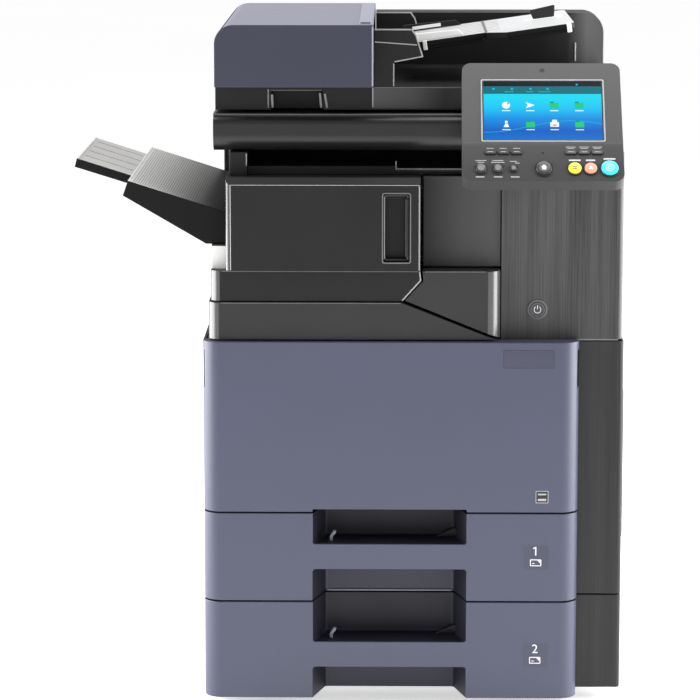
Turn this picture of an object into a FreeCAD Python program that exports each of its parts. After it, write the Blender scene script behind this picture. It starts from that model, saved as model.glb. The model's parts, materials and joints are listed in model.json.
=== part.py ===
import FreeCAD, Part
import math
import os
import re

# Floor-standing photocopier: a two-drawer paper feeder under a colour engine, a stapling
# finisher with a tray on the left, a flatbed scanner with a document feeder on top, and a
# tilting operation panel at the upper right.  Millimetres, +X to the operator's right,
# -Y towards the operator, +Z up.  The origin is on the floor, under the middle of the
# whole machine's box.

doc = FreeCAD.newDocument("Photocopier")
sheet = doc.addObject("Spreadsheet::Sheet", "Dims")

DIMENSIONS = {
    # whole machine
    "front_y": -215.0,
    "rear_y": 284.0,
    "blue_left": -194.0,
    "blue_right": 301.0,
    "band_right": 361.0,
    "column_right": 358.5,
    "band_setback": 40.0,
    "wrap": 30.0,
    "corner_round": 24.0,
    "skin": 5.0,
    "wall": 3.0,
    "gap": 1.5,
    "bypass_right": 371.0,
    # heights
    "feet_height": 14.0,
    "drawer_low": 12.0,
    "seam_low": 144.0,
    "seam_mid": 264.0,
    "seam_top": 492.0,
    "strip_top": 543.0,
    "finisher_base": 584.5,
    "finisher_top": 708.0,
    "scanner_base": 738.0,
    "scanner_top": 787.5,
    "lid_base": 791.0,
    "lid_top": 821.0,
    "lid_cover_base": 824.0,
    "lid_cover_top": 905.0,
    "lid_wall_top": 896.0,
    # drawer handles
    "handle_left": -49.5,
    "handle_right": 154.0,
    "handle_depth": 58.0,
    "handle_draft": 16.0,
    "bar_low": 42.5,
    "bar_high": 77.0,
    "grip_pocket": 26.0,
    "recess_round": 4.0,
    # drawers behind their fronts
    "tray_left": -176.0,
    "tray_right": 284.0,
    "tray_rear": 215.0,
    "tray_depth": 98.0,
    "paper_centre_y": 33.0,
    "guide_offset": 104.0,
    "guide_height": 60.0,
    "lift_half_width": 60.0,
    # finisher and its tray
    "finisher_left": -163.0,
    "finisher_right": 93.0,
    "finisher_pin_x": -157.0,
    "finisher_pin_y": -197.0,
    "stacker_left": -292.0,
    "stacker_high": 700.0,
    "stacker_low": 659.0,
    "stacker_front_y": -175.0,
    "stacker_rear_y": 248.0,
    "extension_left": -368.0,
    "extension_front_y": -82.0,
    "extension_rear_y": 192.0,
    # upper column and scanner
    "column_left": 198.5,
    "scanner_left": -180.0,
    "scanner_right": 349.0,
    "scanner_front_y": -172.0,
    "scanner_rear_y": 270.0,
    "lid_front_y": -150.0,
    "lid_wall_right": 354.0,
    "lid_hinge_y": 277.0,
    "lid_hinge_z": 793.0,
    "lid_left": -177.0,
    "lid_cover_right": 30.0,
    "lid_cover_front_y": -195.0,
    "document_slope": 8.1,
    "document_pin_x": 65.5,
    "document_pin_z": 866.0,
    # operation panel
    "panel_x": 247.75,
    "panel_y": -290.0,
    "panel_z": 713.2,
    "panel_lean": 50.0,
    "panel_length": 184.0,
    "panel_thick": 21.0,
    "panel_half_low": 103.7,
    "panel_half_high": 102.5,
    "panel_round": 12.0,
    "key_proud": 2.0,
    "key_body": 7.0,
    "key_pocket": 12.0,
    "key_play": 0.4,
    "power_key_radius": 10.0,
}

for row, (alias, value) in enumerate(DIMENSIONS.items(), start=1):
    sheet.set("A%d" % row, alias)
    sheet.set("B%d" % row, str(value))
    sheet.setAlias("B%d" % row, alias)
doc.recompute()

nodes = {}


def value(text):
    """Number given by a formula of sheet names."""
    return float(work_out(text))


def work_out(text):
    """Work out a sum or difference of sheet names and plain numbers."""
    total = 0.0
    for sign, term in re.findall(r"([+-]?)\s*([a-z_0-9.*/]+)", str(text).replace(" ", "")):
        factor = -1.0 if sign == "-" else 1.0
        product = 1.0
        for operator, word in re.findall(r"([*/]?)([a-z_0-9.]+)", term):
            number = sheet.get(word) if word in DIMENSIONS else float(word)
            product = product / number if operator == "/" else product * number
        total += factor * product
    return total


def bind(item, path, text):
    """Bind a property to a formula of sheet names."""
    linked = re.sub(
        r"[a-z][a-z_0-9]*",
        lambda match: "Dims." + match.group(0) if match.group(0) in DIMENSIONS else match.group(0),
        str(text),
    )
    item.setExpression(path, linked)


def locate(item, x, y, z):
    """Bind the three coordinates of an item's place."""
    for axis, text in zip("xyz", (x, y, z)):
        bind(item, "Placement.Base." + axis, text)


def block(name, x, y, z):
    """Box between pairs of formulas along each axis."""
    item = doc.addObject("Part::Box", name)
    for size, (low, high) in zip(("Length", "Width", "Height"), (x, y, z)):
        bind(item, size, "(%s) - (%s)" % (high, low))
    locate(item, x[0], y[0], z[0])
    return item


def rod(name, radius, length, place, direction=(0, 0, 1)):
    """Cylinder whose base centre is at place and which runs along direction."""
    item = doc.addObject("Part::Cylinder", name)
    bind(item, "Radius", radius)
    bind(item, "Height", length)
    turn = FreeCAD.Rotation(FreeCAD.Vector(0, 0, 1), FreeCAD.Vector(*direction))
    item.Placement = FreeCAD.Placement(FreeCAD.Vector(0, 0, 0), turn)
    locate(item, *place)
    return item


def join(name, pieces):
    item = doc.addObject("Part::MultiFuse", name)
    item.Shapes = pieces
    item.Refine = True
    return item


def group(name, pieces):
    """Separate solids of one kind, kept together."""
    item = doc.addObject("Part::Compound", name)
    item.Links = pieces
    return item


def carve(name, base, tools):
    """Cut one or more tools out of a base."""
    tool = tools[0] if len(tools) == 1 else doc.addObject("Part::Compound", name + "_tools")
    if len(tools) > 1:
        tool.Links = tools
    item = doc.addObject("Part::Cut", name)
    item.Base = base
    item.Tool = tool
    item.Refine = True
    return item


def fillet(name, base, radius, wanted):
    """Round the edges that wanted() picks."""
    doc.recompute()
    item = doc.addObject("Part::Fillet", name)
    item.Base = base
    size = value(radius)
    edges = enumerate(base.Shape.Edges, start=1)
    item.Edges = [(number, size, size) for number, edge in edges if wanted(edge)]
    return item


def along(edge, axis):
    """True for a straight edge along an axis letter."""
    if len(edge.Vertexes) < 2:
        return False
    step = edge.Vertexes[1].Point - edge.Vertexes[0].Point
    return abs(abs(getattr(step.normalize(), axis)) - 1.0) < 1e-6


def near(edge, **places):
    """True when the edge's centre lies at the given coordinates."""
    centre = edge.CenterOfMass
    return all(abs(getattr(centre, axis) - value(text)) < 0.5 for axis, text in places.items())


def level_edge(edge, height):
    """True when a whole edge lies at one height."""
    return all(abs(point.Point.z - height) < 0.01 for point in edge.Vertexes)


def corner_arc(before, corner, after, radius):
    """Tangent points and middle of a rounded corner."""
    here = FreeCAD.Vector(*corner, 0)
    back = (FreeCAD.Vector(*before, 0) - here).normalize()
    ahead = (FreeCAD.Vector(*after, 0) - here).normalize()
    half = back.getAngle(ahead) / 2.0
    reach = radius / math.tan(half)
    bisector = (back + ahead).normalize()
    middle = here + bisector * (radius / math.sin(half) - radius)
    return here + back * reach, middle, here + ahead * reach


def outline(points):
    """Closed outline of lines and arcs from (x, y, radius) corners."""
    stops = []
    count = len(points)
    for index, (x, y, radius) in enumerate(points):
        before = points[index - 1][:2]
        after = points[(index + 1) % count][:2]
        if radius > 0:
            stops.append(corner_arc(before, (x, y), after, radius))
        else:
            here = FreeCAD.Vector(x, y, 0)
            stops.append((here, None, here))
    curves = []
    for index, (start, middle, end) in enumerate(stops):
        if middle is not None:
            curves.append(Part.Arc(start, middle, end))
        following = stops[(index + 1) % count][0]
        if end.distanceToPoint(following) > 1e-6:
            curves.append(Part.LineSegment(end, following))
    return curves


def add_sketch(body, name, role, curves):
    """Sketch on one of the body's own origin planes, its curves joined end to end."""
    plane = next(item for item in body.Origin.OriginFeatures if item.Role == role)
    sketch = body.newObject("Sketcher::SketchObject", name)
    sketch.AttachmentSupport = [(plane, "")]
    sketch.MapMode = "FlatFace"
    sketch.addGeometry(curves, False)
    return sketch


def padded(name, role, points, length):
    """Body made of one padded outline; the pad's length is bound to the sheet."""
    body = doc.addObject("PartDesign::Body", name)
    sketch = add_sketch(body, name + "_outline", role, outline(points))
    pad = body.newObject("PartDesign::Pad", name + "_pad")
    pad.Profile = sketch
    bind(pad, "Length", length)
    body.Tip = pad
    return body


def disc_body(name, radius, length):
    """Round key or cap: a padded circle with its rim broken."""
    body = doc.addObject("PartDesign::Body", name)
    circle = Part.Circle(FreeCAD.Vector(0, 0, 0), FreeCAD.Vector(0, 0, 1), radius)
    sketch = add_sketch(body, name + "_circle", "XY_Plane", [circle])
    pad = body.newObject("PartDesign::Pad", name + "_pad")
    pad.Profile = sketch
    bind(pad, "Length", length)
    body.Tip = pad
    return body


def keep(node, item):
    """Give an item its node name, which also names its file."""
    item.Label = node
    nodes[node] = item
    return item


# ---------------------------------------------------------------- feeder unit

def make_feet():
    feet = []
    for side, x in (("left", "blue_left + 40"), ("right", "blue_right - 31")):
        for end, y in (("front", "front_y + 100"), ("rear", "rear_y - 50")):
            stem = rod("foot_%s_%s_stem" % (side, end), "7", "feet_height", (x, y, "0"))
            pad = rod("foot_%s_%s_pad" % (side, end), "16", "feet_height / 2", (x, y, "0"))
            feet.append(join("foot_%s_%s" % (side, end), [stem, pad]))
    keep("leveling_feet", group("leveling_feet_set", feet))


def make_feeder_frame():
    floor_plate = block("feeder_floor", ("blue_left", "band_right - 4"), ("front_y + 76", "rear_y - 12"),
                        ("feet_height", "feet_height + 6"))
    left = block("feeder_left_wall", ("blue_left", "blue_left + 4"), ("front_y + wrap + gap", "rear_y - 4"),
                 ("feet_height", "seam_low - 1"))
    right = block("feeder_right_wall", ("blue_right - 6", "blue_right - 2"),
                  ("front_y + wrap + gap", "rear_y - 12"), ("feet_height", "seam_low - 1"))
    back = block("feeder_back_wall", ("blue_left", "blue_right - 2"), ("rear_y - 12", "rear_y - 8"),
                 ("feet_height", "seam_low - 1"))
    deck = block("feeder_deck", ("blue_left", "blue_right - 2"), ("front_y + 76", "rear_y - 8"),
                 ("seam_low - 5", "seam_low - 1"))
    keep("feeder_frame", join("feeder_frame_weldment", [floor_plate, left, right, back, deck]))


def side_shell(name, low, high):
    """Side cover right of the blue fronts: a front strip and a long side wall, rounded where they meet."""
    outer = block(name + "_outer", ("blue_right", "band_right"), ("front_y + band_setback", "rear_y - 1"),
                  (low, high))
    rounded = fillet(name + "_rounded", outer, "6",
                     lambda edge: along(edge, "z") and near(edge, x="band_right", y="front_y + band_setback"))
    inner = block(name + "_inner", ("blue_right - 1", "band_right - wall"),
                  ("front_y + band_setback + wall", "rear_y"), (low + " - 1", high + " + 1"))
    return rounded, inner


def make_feeder_right_cover():
    outer, inner = side_shell("feeder_right", "feet_height + 3", "seam_low + 0.5")
    keep("feeder_right_cover", carve("feeder_right_shell", outer, [inner]))


# ---------------------------------------------------------------- drawers

def drafted_recess(name, low, high, rounded_at):
    """Handle recess whose side walls draw in towards the back, with the edge at one height rounded."""
    slack = 1.0
    left = value("handle_left")
    right = value("handle_right")
    draft = value("handle_draft")
    front = value("front_y")
    back = value("front_y + handle_depth")
    lean = draft * slack / value("handle_depth")
    points = [(left - lean, front - slack, 0), (right + lean, front - slack, 0),
              (right - draft, back, 5), (left + draft, back, 5)]
    body = padded(name, "XY_Plane", points, "(%s) - (%s)" % (high, low))
    locate(body, "0", "0", low)
    level = value(rounded_at)
    return fillet(name + "_rounded", body, "recess_round",
                  lambda edge: level_edge(edge, level) and edge.CenterOfMass.y > front)


def hollow_front(name, low, high):
    """Space behind a blue front's skin, following its round corners."""
    space = block(name, ("blue_left + skin", "blue_right - skin"), ("front_y + skin", "front_y + wrap + 1"),
                  (low, high))
    return fillet(name + "_rounded", space, "corner_round - skin",
                  lambda edge: along(edge, "z") and near(edge, y="front_y + skin"))


def make_drawer_front(number, low, high):
    tag = "drawer_%d_" % number
    skin = block(tag + "skin", ("blue_left", "blue_right"), ("front_y", "front_y + wrap"), (low, high))
    rounded = fillet(tag + "rounded", skin, "corner_round",
                     lambda edge: along(edge, "z") and near(edge, y="front_y"))
    hollow = hollow_front(tag + "hollow", low + " + 4", high + " - 4")
    shell = carve(tag + "shell", rounded, [hollow])
    core = block(tag + "core", ("handle_left - 6", "handle_right + 6"),
                 ("front_y + 4", "front_y + handle_depth + 8"), (low, high))
    solid = join(tag + "solid", [shell, core])
    bar_low = "%s + bar_low" % low
    bar_high = "%s + bar_high" % low
    upper = drafted_recess(tag + "upper_recess", bar_high, "%s + 1" % high, bar_high)
    lower = drafted_recess(tag + "lower_recess", "%s - 1" % low, bar_low, bar_low)
    pocket = block(tag + "finger_pocket", ("handle_left + 18", "handle_right - 18"),
                   ("front_y + 14", "front_y + 46"), ("%s - 1" % bar_low, "%s + grip_pocket" % bar_low))
    keep("cassette_%d_front" % number, carve(tag + "front", solid, [upper, lower, pocket]))


def lift_ears(tag, low):
    """Two ears on the drawer's floor, whose pins carry the lift plate."""
    inner, outer = "lift_half_width + 0.4", "lift_half_width + 4"
    rows = (("front",
             ("paper_centre_y - " + outer.replace("+", "-"), "paper_centre_y - " + inner.replace("+", "-"))),
            ("rear", ("paper_centre_y + " + inner, "paper_centre_y + " + outer)))
    pieces = []
    for end, (near_y, far_y) in rows:
        pieces.append(block(tag + end + "_ear", ("57", "65"), (near_y, far_y),
                            (low + " + 1", low + " + wall + 7")))
        start = near_y if end == "front" else near_y + " - 8"
        pieces.append(rod(tag + end + "_lift_pin", "1.5", "11", ("61", start, low + " + wall + 3.6"),
                          (0, 1, 0)))
    return pieces


def make_drawer_tray(number, low):
    tag = "drawer_%d_" % number
    outer = block(tag + "tray_outer", ("tray_left", "tray_right"),
                  ("front_y + handle_depth + 8", "tray_rear"),
                  (low, low + " + tray_depth"))
    inner = block(tag + "tray_inner", ("tray_left + wall", "tray_right - wall"),
                  ("front_y + handle_depth + 8 + wall", "tray_rear - wall"),
                  (low + " + wall", low + " + tray_depth + 1"))
    shell = carve(tag + "tray_shell", outer, [inner])
    keep("cassette_%d_tray" % number, join(tag + "tray", [shell] + lift_ears(tag, low)))
    pivot = low + " + wall + 3.6"
    reach = ("paper_centre_y - lift_half_width", "paper_centre_y + lift_half_width")
    plate = block(tag + "lift", ("61", "tray_right - 6"), reach, (pivot + " - 1", pivot + " + 1"))
    knuckle = rod(tag + "knuckle", "3.2", "2 * lift_half_width", ("61", reach[0], pivot), (0, 1, 0))
    bore = rod(tag + "knuckle_bore", "1.56", "2 * lift_half_width + 2", ("61", reach[0] + " - 1", pivot),
               (0, 1, 0))
    keep("cassette_%d_lift_plate" % number,
         carve(tag + "lift_hinge", join(tag + "lift_solid", [plate, knuckle]),
                                                  [bore]))
    for end, y in (("front", "paper_centre_y - guide_offset"), ("rear", "paper_centre_y + guide_offset")):
        upright = block(tag + end + "_upright", ("-60", "120"), (y + " - 2", y + " + 2"),
                        (low + " + wall + 0.5", low + " + wall + guide_height"))
        toe = (y + " - 12", y + " + 2") if end == "front" else (y + " - 2", y + " + 12")
        foot = block(tag + end + "_toe", ("-40", "20"), toe, (low + " + wall + 0.5", low + " + wall + 4"))
        keep("cassette_%d_%s_guide" % (number, end), join(tag + end + "_guide", [upright, foot]))


# ---------------------------------------------------------------- engine

def make_main_frame():
    left, right = "blue_left + 6", "blue_right - 2"
    bottom = block("frame_bottom", (left, right), ("front_y + 76", "rear_y - 12"),
                   ("seam_low + 1.5", "seam_low + 5"))
    middle = block("frame_middle", (left, right), ("front_y + 76", "rear_y - 12"),
                   ("seam_mid - 8", "seam_mid - 4"))
    top = block("frame_top", (left, "column_right - 5"), ("front_y + band_setback + 5", "rear_y - 8"),
                ("seam_top - 6", "seam_top - 2"))
    left_wall = block("frame_left", (left, left + " + 3"), ("front_y + wrap + 5", "rear_y - 12"),
                      ("seam_low + 1.5", "seam_top - 2"))
    right_wall = block("frame_right", (right + " - 3", right), ("front_y + wrap + 5", "rear_y - 12"),
                       ("seam_low + 1.5", "seam_top - 2"))
    back = block("frame_back", ("blue_left + 12", "scanner_right - 2"), ("rear_y - 12", "rear_y - 8"),
                 ("seam_low + 1.5", "scanner_base - 1"))
    column_y = ("front_y + band_setback + 5", "rear_y - 12")
    column_left = block("frame_column_left", ("column_left + 6", "column_left + 10"), column_y,
                        ("seam_top - 2", "scanner_base - 1"))
    column_right = block("frame_column_right", ("column_right - 9", "column_right - 5"), column_y,
                         ("seam_top - 2", "scanner_base - 1"))
    column_top = block("frame_column_top", ("column_left + 6", "column_right - 5"), column_y,
                       ("scanner_base - 5", "scanner_base - 1"))
    rear_beam = block("frame_rear_beam", ("blue_left + 12", "column_left + 6"),
                      ("rear_y - 70", "rear_y - 12"), ("scanner_base - 5", "scanner_base - 1"))
    keep("main_frame", join("main_frame_weldment", [bottom, middle, top, left_wall, right_wall, back,
                                                    column_left, column_right, column_top, rear_beam]))


def make_left_cover():
    sheet_cover = block("left_sheet", ("blue_left", "blue_left + 4"), ("front_y + wrap + gap", "rear_y - 4"),
                        ("seam_low + 1", "seam_top - 1"))
    slots = [block("left_slot_%d" % index, ("blue_left - 1", "blue_left + 5"),
                   ("rear_y - 130", "rear_y - 50"),
                   ("seam_low + 40 + %d" % (index * 12), "seam_low + 45 + %d" % (index * 12)))
             for index in range(8)]
    keep("left_cover", carve("left_vented", sheet_cover, slots))


def make_rear_cover():
    outer = block("rear_outer", ("blue_left + 5", "column_right - 4.5"), ("rear_y - 7", "rear_y"),
                  ("feet_height + 7", "scanner_base - 2"))
    inner = block("rear_inner", ("blue_left + 8", "column_right - 7.5"), ("rear_y - 8", "rear_y - wall"),
                  ("feet_height + 10", "scanner_base - 5"))
    slots = [block("rear_slot_%d" % index, ("-20 + %d" % (index * 14), "-12 + %d" % (index * 14)),
                   ("rear_y - 10", "rear_y + 1"), ("520", "620")) for index in range(12)]
    inlet = block("rear_inlet_hole", ("-122", "-74"), ("rear_y - 10", "rear_y + 1"), ("58", "86"))
    keep("rear_cover", carve("rear_vented", outer, [inner, inlet] + slots))


def make_right_column_cover():
    outer, inner = side_shell("band", "seam_low + 2", "seam_top - 4")
    doorway = block("band_doorway", ("band_right - 8", "band_right + 1"), ("-120", "200"), ("175", "470"))
    keep("right_column_cover", carve("band_shell", outer, [inner, doorway]))
    outer_door = block("door_outer", ("band_right - 10", "band_right"), ("-119", "199"), ("176", "469"))
    inner_door = block("door_inner", ("band_right - 11", "band_right - wall"), ("-114", "194"),
                       ("181", "464"))
    grip = block("door_grip", ("band_right - 9", "band_right + 1"), ("10", "80"), ("425", "450"))
    backing = block("door_grip_backing", ("band_right - 10", "band_right"), ("6", "84"), ("421", "454"))
    plain = carve("door_shell", outer_door, [inner_door])
    ears = []
    for end, y, start in (("front", ("-48", "-41"), "-46"), ("rear", ("171", "178"), "165")):
        ears.append(block("bypass_ear_" + end, ("band_right - 1", "bypass_right - 0.6"), y, ("196", "214")))
        ears.append(rod("bypass_pin_" + end, "2", "11", ("bypass_right - 4.8", start, "209"), (0, 1, 0)))
    solid = join("door_backed", [plain, backing] + ears)
    keep("right_door", carve("door_gripped", solid, [grip]))


def make_bypass_tray():
    """Fold-down sheet tray on the right door, shown closed."""
    leaf = block("bypass_leaf", ("band_right + 0.4", "bypass_right"), ("-40", "170"), ("204.2", "400"))
    rounded = fillet("bypass_rounded", leaf, "4.7",
                     lambda edge: along(edge, "y") and edge.CenterOfMass.z < 205)
    corners = fillet("bypass_corners", rounded, "8",
                     lambda edge: along(edge, "x") and edge.CenterOfMass.z > 399)
    bore = rod("bypass_bore", "2.06", "230", ("bypass_right - 4.8", "-50", "209"), (0, 1, 0))
    scoop = block("bypass_scoop", ("bypass_right - 5", "bypass_right + 1"), ("35", "95"), ("380", "401"))
    keep("bypass_tray", carve("bypass_cut", corners, [bore, scoop]))


def make_upper_right_panel():
    outer = block("column_outer", ("column_left", "column_right"), ("front_y + band_setback", "rear_y - 1"),
                  ("seam_top - 1.5", "scanner_base - 1"))
    rounded = fillet("column_rounded", outer, "8",
                     lambda edge: along(edge, "z") and near(edge, x="column_right",
                                                            y="front_y + band_setback"))
    inner = block("column_inner", ("column_left - 1", "column_right - 4"),
                  ("front_y + band_setback + 4", "rear_y"), ("seam_top - 3", "scanner_base"))
    hole = rod("column_key_hole", "power_key_radius + key_play", "8",
               ("246.5", "front_y + band_setback - 2", "530"), (0, 1, 0))
    keep("upper_right_panel", carve("column_shell", rounded, [inner, hole]))


def make_inner_panels():
    keep("inner_front_panel", block("inner_panel", ("finisher_right + 2.5", "column_left - 1"),
                                    ("front_y + 43",
                                     "front_y + 49"), ("finisher_base + 2", "finisher_top - 2")))
    right = value("column_left - gap")
    top = value("finisher_base")
    low = value("seam_top + gap")
    corner = padded("corner_block", "XZ_Plane",
                    [(right, top, 0), (94.5, top, 0), (96.0, top - 12.5, 0), (71.5, 545.5, 0),
                     (right, low + 1.0, 0)],
                    "42")
    locate(corner, "0", "front_y + 54", "0")
    keep("corner_panel", fillet("corner_rounded", corner, "18",
                                lambda edge: along(edge, "z") and near(edge, x="column_left - gap",
                                                                       y="front_y + 12")))
    left = value("blue_left + 8")
    strip = padded("strip_block", "XZ_Plane",
                   [(left, low, 0), (right - 5.0, low, 0), (67.5, value("strip_top"), 0),
                    (left, value("strip_top"), 0)], "rear_y - front_y - 23")
    locate(strip, "0", "rear_y - 13", "0")
    rounded = fillet("strip_rounded", strip, "16",
                     lambda edge: along(edge, "z") and near(edge, x="blue_left + 8", y="front_y + 10"))
    space = block("strip_space", ("blue_left + 14", "62"), ("front_y + 16", "rear_y - 17"),
                  ("seam_top", "strip_top - 4"))
    keep("strip_cover", carve("strip_shell", rounded, [space]))


# ---------------------------------------------------------------- finisher

def make_finisher():
    left = value("blue_left + 11")
    right = value("finisher_right")
    low = value("strip_top + gap")
    top = value("finisher_base")
    skirt = padded("finisher_skirt", "XZ_Plane",
                   [(left, low, 0), (68.5, low, 0), (right, top - 12.5, 0), (right - 2.0, top, 0),
                    (left, top, 0)],
                   "rear_y - front_y - 26")
    locate(skirt, "0", "rear_y - 13", "0")
    skirt_round = fillet("finisher_skirt_rounded", skirt, "14",
                         lambda edge: along(edge, "z") and near(edge, x="blue_left + 11", y="front_y + 13"))
    case = block("finisher_case", ("finisher_left", "finisher_right - 1"), ("front_y + 31", "rear_y - 13"),
                 ("finisher_base", "finisher_top - 2"))
    room = block("finisher_room", ("finisher_left + 4", "finisher_right - 5"),
                 ("front_y + 30", "front_y + 388"),
                 ("finisher_base + 5", "finisher_top - 6"))
    skirt_room = block("finisher_skirt_room", ("blue_left + 17", "62"), ("front_y + 19", "rear_y - 18"),
                       ("strip_top", "finisher_base - 4"))
    slot = block("finisher_exit_slot", ("finisher_left - 1", "finisher_left + 5"), ("-120", "150"),
                 ("676", "690"))
    seat = "finisher_top - 1.7"
    depth = ("front_y + 60", "front_y + 388")
    raised = block("inner_tray_raised", ("-135.7", "62"), depth, (seat, "finisher_top + 9"))
    flat = block("inner_tray_flat", ("62.3", "column_left - 1"), depth, (seat, "finisher_top + 1"))
    crown = block("finisher_crown", ("finisher_left + 4.5", "-136"), ("front_y + 47", "front_y + 388"),
                  (seat, "scanner_base - 1.5"))
    spacer = block("finisher_spacer", ("blue_left + 11.5", "finisher_left + 1"), ("front_y + 35", "100"),
                   ("finisher_base - 1", "614.5"))
    pin = rod("finisher_door_pin", "2.5", "114", ("finisher_pin_x", "finisher_pin_y", "finisher_base - 1"))
    solid = join("finisher_solid", [skirt_round, case, spacer, pin])
    shell = carve("finisher_shell", solid, [room, skirt_room, slot])
    keep("finisher_housing", group("finisher_set", [shell, raised, flat, crown]))

    front, back = value("front_y + 5"), value("front_y + 29")
    door_left, door_right = value("finisher_left + 0.5"), value("finisher_right - 1.5")
    slab = padded("finisher_door_slab", "XY_Plane",
                  [(door_left, back, 0), (door_left, front, 5.5), (door_right, front, 2),
                   (door_right, back, 0)],
                  "finisher_top - finisher_base - 1.5")
    locate(slab, "0", "0", "finisher_base + 1")
    door_top = value("finisher_top - 0.5")
    bevel = padded("finisher_door_bevel", "YZ_Plane",
                   [(front - 1.0, door_top - 9.0, 0), (front + 9.0, door_top + 1.0, 0),
                    (front - 1.0, door_top + 1.0, 0)],
                   "finisher_right - finisher_left + 2")
    locate(bevel, "finisher_left - 1", "0", "0")
    hollow = block("finisher_door_hollow", ("finisher_left + 14", "30"), ("front_y + 10", "front_y + 30"),
                   ("finisher_base + 6", "finisher_top - 14"))
    grip = block("finisher_door_grip", ("43", "78"), ("front_y + 4", "front_y + 20"), ("597", "687"))
    bore = rod("finisher_door_bore", "2.56", "118", ("finisher_pin_x", "finisher_pin_y", "finisher_base - 1"))
    keep("finisher_door", carve("finisher_door_cut", slab, [bevel, hollow, grip, bore]))

    head = block("stapler_head", ("-125", "-60"), ("front_y + 50", "front_y + 110"), ("600", "660"))
    cartridge = block("stapler_cartridge", ("-60", "-20"), ("front_y + 55", "front_y + 105"), ("604", "640"))
    base = block("stapler_base", ("-130", "-15"), ("front_y + 45", "front_y + 115"),
                 ("finisher_base + 5", "600"))
    keep("stapler_unit", join("stapler_group", [head, cartridge, base]))


def make_stacker():
    left, right = value("stacker_left"), value("finisher_left")
    high, low = value("stacker_high"), value("stacker_low")
    slope = (high - low) / (right - left)
    foot_left, base = -190.0, 616.5
    shell = padded("stacker_outer", "XZ_Plane",
                   [(left, high, 0), (left - 7.0, high - 20.0, 0), (foot_left, base, 0), (right, base, 0),
                    (right, low, 0)], "stacker_rear_y - stacker_front_y")
    locate(shell, "0", "stacker_rear_y", "0")
    skin = 3.2
    reach = 12.0
    inner = padded("stacker_inner", "XZ_Plane",
                   [(left - reach, high - skin + reach * slope, 0), (left - reach, base - 5.0, 0),
                    (right - 4.0, base - 5.0, 0), (right - 4.0, low - skin + 4.0 * slope, 0)],
                   "stacker_rear_y - stacker_front_y - 6")
    locate(inner, "0", "stacker_rear_y - 3", "0")
    keep("output_tray", carve("stacker_shell", shell, [inner]))

    tip, root = value("extension_left"), -236.0
    drop = 4.6
    top_at_root = high - drop - (root - left) * slope
    top_at_tip = high - drop - (tip - left) * slope
    leaf = padded("extension_leaf", "XZ_Plane",
                  [(tip, top_at_tip, 0), (tip - 3.0, top_at_tip - 12.0, 0), (root, top_at_root - 12.0, 0),
                   (root, top_at_root, 0)], "extension_rear_y - extension_front_y")
    locate(leaf, "0", "extension_rear_y", "0")
    keep("tray_extension", leaf)


# ---------------------------------------------------------------- front cover and inner units

def make_front_cover():
    skin = block("cover_skin", ("blue_left", "blue_right"), ("front_y", "front_y + wrap"),
                 ("seam_mid + 1", "seam_top"))
    rounded = fillet("cover_rounded", skin, "corner_round",
                     lambda edge: along(edge, "z") and near(edge, y="front_y"))
    hollow = hollow_front("cover_hollow", "seam_mid + 8", "seam_top - 4")
    notch = block("cover_notch", ("handle_left", "handle_right"), ("front_y - 1", "front_y + wrap + 1"),
                  ("seam_mid", "seam_mid + 4.5"))
    left_grip = block("cover_left_grip", ("blue_left - 1", "blue_left + 4"),
                      ("front_y + 14", "front_y + wrap + 1"), ("430", "480"))
    right_grip = block("cover_right_grip", ("blue_right - 4", "blue_right + 1"),
                       ("front_y + 14", "front_y + wrap + 1"), ("430", "480"))
    keep("front_cover", carve("cover_shell", rounded, [hollow, notch, left_grip, right_grip]))


def make_engine_units():
    bottles = [rod("toner_%d" % index, "28", "350", ("-120 + %d" % (index * 110), "-150", "441"), (0, 1, 0))
               for index in range(4)]
    keep("toner_cartridges", group("toner_set", bottles))
    drums = [block("drum_%d" % index, ("-155 + %d" % (index * 110), "-85 + %d" % (index * 110)),
                   ("-150", "225"), ("320", "360")) for index in range(4)]
    belt = block("transfer_belt", ("-165", "275"), ("-150", "225"), ("366", "400"))
    laser = block("laser", ("-160", "270"), ("-130", "200"), ("268", "312"))
    keep("imaging_units", group("imaging_set", drums + [belt, laser]))
    case = block("fuser_case", ("225", "330"), ("-140", "200"), ("500", "575"))
    trough = block("fuser_trough", ("235", "320"), ("-130", "190"), ("510", "576"))
    heat = rod("fuser_heat_roller", "16", "312", ("258", "-126", "540"), (0, 1, 0))
    press = rod("fuser_press_roller", "16", "312", ("297", "-126", "540"), (0, 1, 0))
    keep("fuser_unit", group("fuser_group", [carve("fuser_shell", case, [trough]), heat, press]))
    motor = rod("drive_motor_can", "30", "30", ("60", "rear_y - 50", "330"), (0, 1, 0))
    supply = block("supply_case", ("110", "280"), ("rear_y - 60", "rear_y - 14"), ("160", "240"))
    board = block("main_board_plate", ("212", "345"), ("rear_y - 20", "rear_y - 16"), ("590", "705"))
    keep("drive_and_power", group("drive_and_power_set", [motor, supply, board]))


def make_power_inlet():
    flange = block("inlet_flange", ("-123", "-73"), ("rear_y", "rear_y + 3"), ("57", "87"))
    case = block("inlet_case", ("-121", "-75"), ("rear_y - 7.5", "rear_y + 6"), ("59", "85"))
    mouth = block("inlet_mouth", ("-110", "-86"), ("rear_y - 6", "rear_y + 7"), ("63", "80"))
    pins = [block("inlet_pin_%d" % index, ("-107 + %d" % (index * 7), "-103 + %d" % (index * 7)),
                  ("rear_y - 7", "rear_y"), (low, low + " + 5"))
            for index, low in enumerate(("66", "72", "66"))]
    hollow = carve("inlet_body", join("inlet_solid", [flange, case]), [mouth])
    keep("power_inlet", join("inlet_with_pins", [hollow] + pins))


# ---------------------------------------------------------------- scanner and document feeder

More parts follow.
